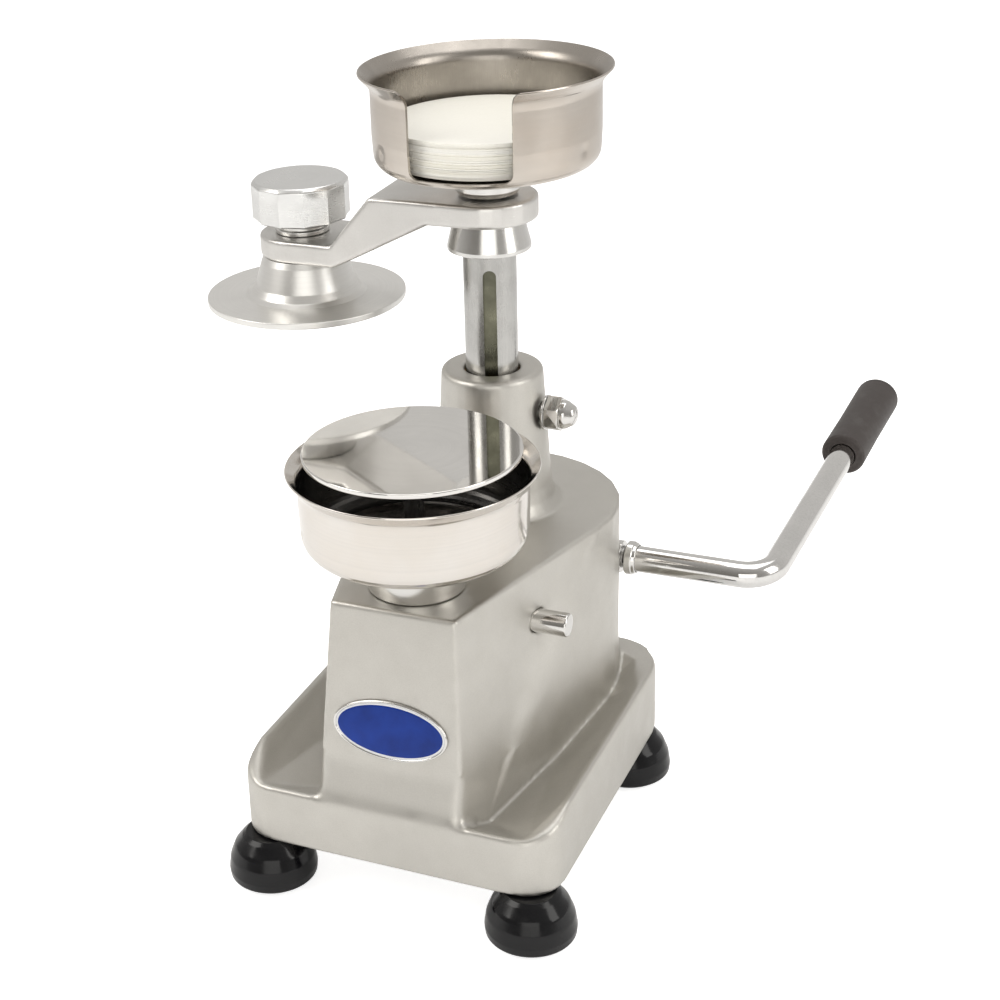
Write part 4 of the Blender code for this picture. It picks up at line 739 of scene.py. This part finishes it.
def add_handle():
    heading = Vector((math.sin(HANDLE_LEAN), math.cos(HANDLE_LEAN) * math.cos(HANDLE_RISE),
                      math.cos(HANDLE_LEAN) * math.sin(HANDLE_RISE)))
    sideways = Vector((1.0, 0.0, 0.0))
    across = (heading - sideways * heading.x).normalized()
    bar_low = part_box("handle_bar")[0]
    bend = HANDLE_BEND_R * MM
    sweep = math.pi / 2 - HANDLE_LEAN
    corner = SHAFT_AT + sideways * (HANDLE_OUT * MM)
    centre = corner - sideways * bend * math.tan(sweep / 2) + across * bend
    route = [Vector((bar_low.x, SHAFT_AT.y, SHAFT_AT.z))]
    for step in range(1, 7):
        route.append(route[0].lerp(centre - across * bend, step / 7))
    for step in range(21):
        angle = sweep * step / 20
        route.append(centre + (sideways * math.sin(angle) - across * math.cos(angle)) * bend)
    straight_end = corner + heading * (BAR_END * MM)
    start = route[-1]
    for step in range(1, 11):
        route.append(start.lerp(straight_end, step / 10))
    bar = swept_tube("bent_handle_bar", route, HANDLE_R - 0.01, sideways.cross(across))
    stand_in(bar, "chrome", "handle_bar")
    collar_low, collar_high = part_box("handle_collar")
    width = (collar_high.x - collar_low.x) / MM
    profile = [(8.8, 0.0, 0.3), (11.0, 0.0, 0.8), (11.0, width * 0.62, 0.6), (10.3, width * 0.7, 0.4),
               (9.8, width, 0.7), (8.8, width, 0.2)]
    collar = turned("handle_neck_collar", profile, (collar_low.x, SHAFT_AT.y, SHAFT_AT.z), True, 72,
                    ALONG_X)
    stand_in(collar, "pin", "handle_collar")
    grip_turn = heading.to_track_quat("Z", "Y").to_euler()
    lip = GRIP_START + 0.4
    profile = [(8.8, GRIP_START, 0.6), (10.2, lip, 0.6), (13.6, lip, 1.4), (GRIP_R, lip + 1.6, 1.6),
               (14.95, 176.0, 8.0), (14.7, 205.0, 20.0), (GRIP_R, GRIP_END), (8.8, GRIP_END)]
    grip = turned("vinyl_hand_grip", profile, corner, True, 96, grip_turn, longest=5.0)
    stand_in(grip, "vinyl", "handle_grip")
    seam, end = GRIP_END + 0.2, GRIP_END + 5.8
    profile = [(0.0, seam), (GRIP_R, seam, 0.1), (14.9, 254.8, 2.4), (13.2, 257.0, 2.2), (10.0, end, 1.5),
               (0.0, end)]
    cap = turned("vinyl_grip_end", profile, corner, False, 96, grip_turn)
    stand_in(cap, "vinyl", "grip_cap")


# ------------------------------------------------------------------ column, tray and papers
def add_column():
    low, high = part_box("lift_column")
    base, top = low.z / MM, high.z / MM
    radius = (high.x - low.x) / 2 / MM
    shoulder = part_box("cone_collar")[0].z / MM - 0.3
    profile = [(0.0, base), (radius, base, 1.0), (radius, shoulder, 0.3), (12.0, shoulder, 0.1),
               (12.0, COLLAR_TOP, 0.2), (10.0, COLLAR_TOP, 0.1), (10.0, top, 0.4), (4.3, top, 0.2),
               (4.3, top - 20.0), (0.0, top - 20.0)]
    column = turned("ground_lift_column", profile, COLUMN_AT, segments=128, longest=12.0)
    half = SLOT_HALF_WIDTH
    outline = []
    for centre, first in ((SLOT_TOP - half, 0.0), (SLOT_BOTTOM + half, math.pi)):
        for step in range(17):
            angle = first + math.pi * step / 16
            outline.append((half * math.cos(angle), centre + half * math.sin(angle)))
    slot = finish_mesh("slot", prism_shape(outline, -30.0, -(radius - SLOT_DEPTH)))
    slot.data.transform(Matrix(((1, 0, 0, 0), (0, 0, 1, 0), (0, 1, 0, 0), (0, 0, 0, 1))))
    slot.data.flip_normals()
    slot.location = (COLUMN_AT.x, COLUMN_AT.y, 0.0)
    slot.rotation_euler.z = SLOT_AZIMUTH
    bpy.context.view_layer.update()
    cut(column, slot)
    pitch = 2 * math.pi * PINION_PITCH_R / PINION_TEETH
    module = 2 * PINION_PITCH_R / PINION_TEETH
    deep, tall = RACK_PITCH_Y - module, RACK_PITCH_Y + 0.8 * module
    slope = math.tan(PRESSURE_ANGLE)
    teeth = [(tall, RACK_MIDDLE - 1.5 * pitch)]
    for gap in range(-1, 10):
        middle = RACK_MIDDLE + gap * pitch
        for along, across in ((-1, tall), (-1, deep), (1, deep), (1, tall)):
            half = pitch / 4 + (across - RACK_PITCH_Y) * slope
            teeth.append((across, middle + along * half))
    teeth += [(tall, RACK_MIDDLE + 9.5 * pitch), (19.2, RACK_MIDDLE + 9.9 * pitch),
              (19.2, RACK_MIDDLE - 1.5 * pitch)]
    rack = finish_mesh("rack", prism_shape(teeth, -30.0, 30.0))
    rack.data.transform(Matrix(((0, 0, 1, 0), (1, 0, 0, 0), (0, 1, 0, 0), (0, 0, 0, 1))))
    rack.location = (COLUMN_AT.x, COLUMN_AT.y, 0.0)
    bpy.context.view_layer.update()
    cut(column, rack)
    stand_in(smooth_by_angle(column, 30.0), "ground", "lift_column")
    column.data.materials.append(FINISH["grease"])
    for face in column.data.polygons:
        inside = math.hypot(face.center.x, face.center.y) < (radius - 0.2) * MM
        if inside and face.center.y < 0.0 and SLOT_BOTTOM < face.center.z / MM < SLOT_TOP:
            face.material_index = 1
    low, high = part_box("cone_collar")
    base, top = low.z / MM, high.z / MM
    profile = [(12.3, base, 0.2), (25.4, base, 0.4), (25.3, base + 2.4, 0.6), (21.6, top - 0.6, 0.7),
               (20.8, top, 0.4), (12.3, top, 0.2)]
    stand_in(turned("turned_cone_collar", profile, COLUMN_AT, True, 112), "machined", "cone_collar")
    low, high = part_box("tray_spacer")
    base, top = low.z / MM, high.z / MM
    profile = [(4.3, base), (18.0, base, 0.4), (20.0, base + 3.0, 1.0), (20.0, top, 0.4), (4.3, top)]
    stand_in(turned("turned_tray_spacer", profile, COLUMN_AT, True, 96), "machined", "tray_spacer")


def add_tray():
    low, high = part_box("paper_tray")
    base, rim = low.z / MM, high.z / MM
    rim_r = (high.x - low.x) / 2 / MM
    wall = TRAY_WALL_R
    profile = [(4.3, base), (66.5, base, 9.0), (wall, base + 20.0), (wall, rim - 9.0, 9.0),
               (rim_r, rim - 1.3, 0.5), (rim_r - 0.3, rim, 0.5), (66.0, rim - 7.6, 9.0), (66.0, base + 20.0),
               (65.0, base + 1.5, 7.5), (4.3, base + 1.5)]
    facing = [math.radians(turn - 90.0) for turn in (-43.0, 77.0, 197.0)]
    vary = pressed_dimples(facing, base + 15.0, 0.9, 5.0, 60.0)
    tray = turned("spun_paper_tray", profile, COLUMN_AT, True, 240, steps=7, longest=2.6, vary=vary)
    # the notch's outline is drawn on the wall unrolled, then wrapped back round it
    left, right = NOTCH_LEFT * wall, NOTCH_RIGHT * wall
    floor = base + NOTCH_FLOOR
    edge = rim - 0.2
    corners = [(left - 8.0, rim + 9.0), (left - 8.0, edge), (left, edge, 5.0), (left, floor, 5.0),
               (right, floor, 5.0), (right, edge, 5.0), (right + 8.0, edge), (right + 8.0, rim + 9.0)]
    outline = with_support(rounded_corners(corners, True, 6), True, near=0.25, longest=4.0)
    shape = bmesh.new()
    loops = []
    for reach in (40.0, 90.0):
        loops.append([shape.verts.new((reach * MM * math.sin(across / wall),
                                       -reach * MM * math.cos(across / wall), up * MM))
                      for across, up in outline])
    shape.faces.new(loops[0])
    shape.faces.new(list(reversed(loops[1])))
    join_rings(shape, *loops)
    bmesh.ops.triangulate(shape, faces=[face for face in shape.faces if len(face.verts) > 4])
    notch = finish_mesh("notch", shape)
    notch.location = (COLUMN_AT.x, COLUMN_AT.y, 0.0)
    bpy.context.view_layer.update()
    cut(tray, notch)
    stand_in(smooth_by_angle(tray, 40.0), "tray_outside", "paper_tray")
    # the inside faces and the floor take the brushed steel whose darker colour is painted shade
    tray.data.materials.append(FINISH["tray_inside"])
    for face in tray.data.polygons:
        inwards = face.normal.x * face.center.x + face.normal.y * face.center.y < 0.0
        if inwards or (face.normal.z > 0.3 and face.center.z < (rim - 2.0) * MM):
            face.material_index = 1


def add_papers():
    """A stack of thin round sheets, each a little out of place and slightly wavy at its edge."""
    low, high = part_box("paper_stack")
    pitch = (high.z - low.z) / PAPER_SHEETS
    chance = random.Random(11)
    shape = bmesh.new()
    segments = 96
    for sheet in range(PAPER_SHEETS):
        shift = Vector((chance.uniform(-0.5, 0.5), chance.uniform(-0.5, 0.5), 0.0)) * MM
        wave = chance.uniform(0.0, 0.12) * MM
        phase = chance.uniform(0.0, 2 * math.pi)
        waves = chance.randint(2, 4)
        radius = (PAPER_R + chance.uniform(-0.35, 0.25)) * MM
        under = low.z + sheet * pitch
        gap = pitch * (0.97 if chance.random() < 0.8 else 0.84)
        rings = []
        for reach, up in ((0.0, 0.0), (radius, 0.0), (radius, gap), (radius * 0.9, gap), (0.0, gap)):
            if reach == 0.0:
                rings.append([shape.verts.new(shift + Vector((0.0, 0.0, under + up)))])
                continue
            ring = []
            for step in range(segments):
                angle = 2 * math.pi * step / segments
                lift = wave * (0.5 + 0.5 * math.sin(waves * angle + phase))
                ring.append(shape.verts.new(shift + Vector((reach * math.cos(angle), reach * math.sin(angle),
                                                            min(under + up + lift, high.z)))))
            rings.append(ring)
        for lower, upper in zip(rings, rings[1:]):
            join_rings(shape, lower, upper)
    papers = finish_mesh("patty_papers", shape, 40.0)
    papers.location = (COLUMN_AT.x, COLUMN_AT.y, 0.0)
    stand_in(papers, "paper", "paper_stack")


# ------------------------------------------------------------------ arm, press plate and knob
def add_arm():
    arm = cast_form("swing_arm", "cast_swing_arm", 0.9, 4)
    stand_in(arm, "arm_cast", "swing_arm")
    low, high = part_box("press_plate")
    base, top = low.z / MM, high.z / MM
    radius = (high.x - low.x) / 2 / MM
    edge = base + 4.0
    profile = [(0.0, base), (radius, base, 0.6), (radius, edge, 0.6), (38.5, edge + 0.5, 1.2),
               (34.6, edge + 2.4, 1.6), (32.0, edge + 7.0, 4.0), (27.2, top - 4.0, 2.0), (25.5, top, 0.5),
               (8.3, top), (8.3, base + 9.0), (0.0, base + 9.0)]
    plate = turned("turned_press_plate", profile, PRESS_AT, segments=160, longest=5.0)
    stand_in(plate, "plate", "press_plate")
    low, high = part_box("press_lock_ring")
    base, top = low.z / MM, high.z / MM
    radius = (high.x - low.x) / 2 / MM
    profile = [(8.3, base, 0.2), (radius, base, 0.4), (radius, base + 2.6, 0.5),
               (radius - 1.6, base + 3.2, 0.4), (radius - 1.6, top, 0.5), (8.3, top, 0.2)]
    stand_in(turned("turned_lock_ring", profile, PRESS_AT, True, 96), "machined", "press_lock_ring")
    low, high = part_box("press_knob")
    base, top = low.z / MM, high.z / MM
    radius = (high.x - low.x) / 2 / MM

    def fluted(angle, reach, up):
        """Shallow flutes round the knob that fade out towards its top."""
        if reach < radius - 7.0:
            return reach
        wave = abs(math.sin(KNOB_FLUTES / 2 * angle)) ** 0.8
        fade = min(1.0, max(0.0, (top - 2.0 - up) / 5.0))
        return reach - (0.25 + 1.25 * fade) * wave

    profile = [(8.3, base), (radius - 4.0, base, 0.3), (radius, base + 1.8, 1.0), (radius, top - 2.4, 1.8),
               (radius - 2.2, top - 0.2, 1.8), (radius - 6.5, top, 0.5), (0.0, top), (0.0, top - 7.0),
               (8.3, top - 7.0)]
    shape = turned_shape(profile, True, 192, steps=6, longest=3.0, vary=fluted)
    knob = finish_mesh("fluted_press_knob", shape)
    knob.location = (PRESS_AT.x, PRESS_AT.y, 0.0)
    stand_in(knob, "knob", "press_knob")


# ------------------------------------------------------------------ the rest of the mechanism
def add_small_pieces():
    kept = {
        "drive_shaft": ("ground", 0.2), "drive_pinion": ("oiled", 0.2), "crank_arm": ("dark", 0.5),
        "crank_pin": ("oiled", 0.3), "shaft_clip": ("dark", 0.15), "lift_lever": ("dark", 0.6),
        "roller_pin": ("oiled", 0.3), "link_pin": ("oiled", 0.3), "lever_roller": ("bronze", 0.2),
        "lift_link": ("dark", 0.4), "plate_hub": ("ground", 0.3), "lift_rod": ("ground", 0.2),
        "press_stud": ("ground", 0.2), "tray_screw": ("ground", 0.3), "guide_key": ("ground", 0.3),
        "lock_stud": ("ground", 0.2), "lock_pad": ("bronze", 0.2), "shaft_bush_left": ("pin", 0.3),
        "shaft_bush_right": ("pin", 0.3), "bowl_screw_1": ("ground", 0.2), "bowl_screw_2": ("ground", 0.2),
        "bowl_screw_3": ("ground", 0.2),
    }
    for node, (finish, width) in kept.items():
        stand_in(softened(node, node + "_detail", width), finish, node)


# ------------------------------------------------------------------ camera, floor and light
def add_camera():
    yaw, pitch, roll = -0.4559045, 0.4363293, -0.0556
    heading = Vector((math.sin(yaw) * math.cos(pitch), math.cos(yaw) * math.cos(pitch), -math.sin(pitch)))
    level = Vector((math.cos(yaw), -math.sin(yaw), 0.0))
    upward = level.cross(heading)
    right = level * math.cos(roll) + upward * math.sin(roll)
    top = -level * math.sin(roll) + upward * math.cos(roll)
    lens = bpy.data.cameras.new("camera")
    lens.sensor_width = 36.0
    lens.lens = 69.2
    lens.shift_x = 0.137
    lens.shift_y = 0.002
    lens.clip_start = 0.05
    lens.clip_end = 60.0
    camera = bpy.data.objects.new("camera", lens)
    bpy.context.scene.collection.objects.link(camera)
    turn = Matrix((right, top, -heading)).transposed().to_4x4()
    place = Vector((0.41259, -1.03283, 0.71487)) + Vector((COLUMN_AT.x, COLUMN_AT.y, 0.0))
    camera.matrix_world = Matrix.Translation(place) @ turn
    bpy.context.scene.camera = camera


def add_light(name, place, aim, size, power, colour=(1.0, 1.0, 1.0)):
    lamp = bpy.data.lights.new(name, "AREA")
    lamp.shape = "RECTANGLE"
    lamp.size, lamp.size_y = size
    lamp.energy = power
    lamp.color = colour
    item = bpy.data.objects.new(name, lamp)
    bpy.context.scene.collection.objects.link(item)
    item.location = place
    item.rotation_euler = (Vector(aim) - Vector(place)).to_track_quat("-Z", "Y").to_euler()


def add_stage():
    shape = bmesh.new()
    bmesh.ops.create_grid(shape, x_segments=1, y_segments=1, size=25.0)
    floor = finish_mesh("studio_floor", shape)
    floor.location.z = -0.0005
    surface = Surface("studio_floor_paint", (0.90, 0.90, 0.90), 0.9, Specular_IOR_Level=0.1)
    surface.shader.inputs["Emission Color"].default_value = (1.0, 1.0, 1.0, 1.0)
    seen = surface.node("LightPath").outputs["Is Camera Ray"]
    glow = surface.maths("ADD", surface.maths("MULTIPLY", seen, 0.60), 0.20)
    surface.feed(surface.shader.inputs["Emission Strength"], glow)
    cloud = surface.spread(surface.noise(3.0), 0.3, 0.7, 0.0, 1.0)
    tone = surface.blend(cloud, (0.90, 0.90, 0.90), (0.885, 0.885, 0.885))
    floor.data.materials.append(surface.set(Base_Color=tone))
    add_light("key", (-1.3, -1.0, 1.5), (0.0, 0.0, 0.2), (1.0, 1.2), 15.0, (1.0, 0.98, 0.945))
    add_light("side", (1.6, -0.2, 1.0), (0.0, 0.0, 0.2), (0.7, 1.4), 8.5, (1.0, 0.985, 0.955))
    add_light("top", (0.0, 0.3, 1.9), (0.0, 0.0, 0.2), (1.3, 1.3), 9.5)
    add_light("fill", (0.7, -2.0, 0.7), (0.0, 0.0, 0.25), (1.6, 1.2), 9.0, (1.0, 0.985, 0.95))
    world = bpy.data.worlds.new("studio")
    bpy.context.scene.world = world
    world.use_nodes = True
    tree = world.node_tree
    background = tree.nodes["Background"]
    coordinates = tree.nodes.new("ShaderNodeTexCoord")
    parts = tree.nodes.new("ShaderNodeSeparateXYZ")
    tree.links.new(coordinates.outputs["Generated"], parts.inputs[0])
    ramp = tree.nodes.new("ShaderNodeValToRGB")
    spread = tree.nodes.new("ShaderNodeMapRange")
    for key, value in (("From Min", -1.0), ("From Max", 1.0)):
        spread.inputs[key].default_value = value
    tree.links.new(parts.outputs[1], spread.inputs["Value"])
    tree.links.new(spread.outputs[0], ramp.inputs[0])
    ramp.color_ramp.elements[0].position = 0.0
    ramp.color_ramp.elements[0].color = (0.30, 0.285, 0.26, 1.0)
    ramp.color_ramp.elements[1].position = 1.0
    ramp.color_ramp.elements[1].color = (0.98, 0.96, 0.93, 1.0)
    middle = ramp.color_ramp.elements.new(0.42)
    middle.color = (0.80, 0.78, 0.75, 1.0)
    tree.links.new(ramp.outputs[0], background.inputs["Color"])
    background.inputs["Strength"].default_value = 0.68
    bpy.context.scene.view_settings.view_transform = "Standard"


add_camera()
add_casting()
add_feet()
add_mould()
add_boss_hardware()
add_badge()
add_handle()
add_column()
add_tray()
add_papers()
add_arm()
add_small_pieces()
add_stage()
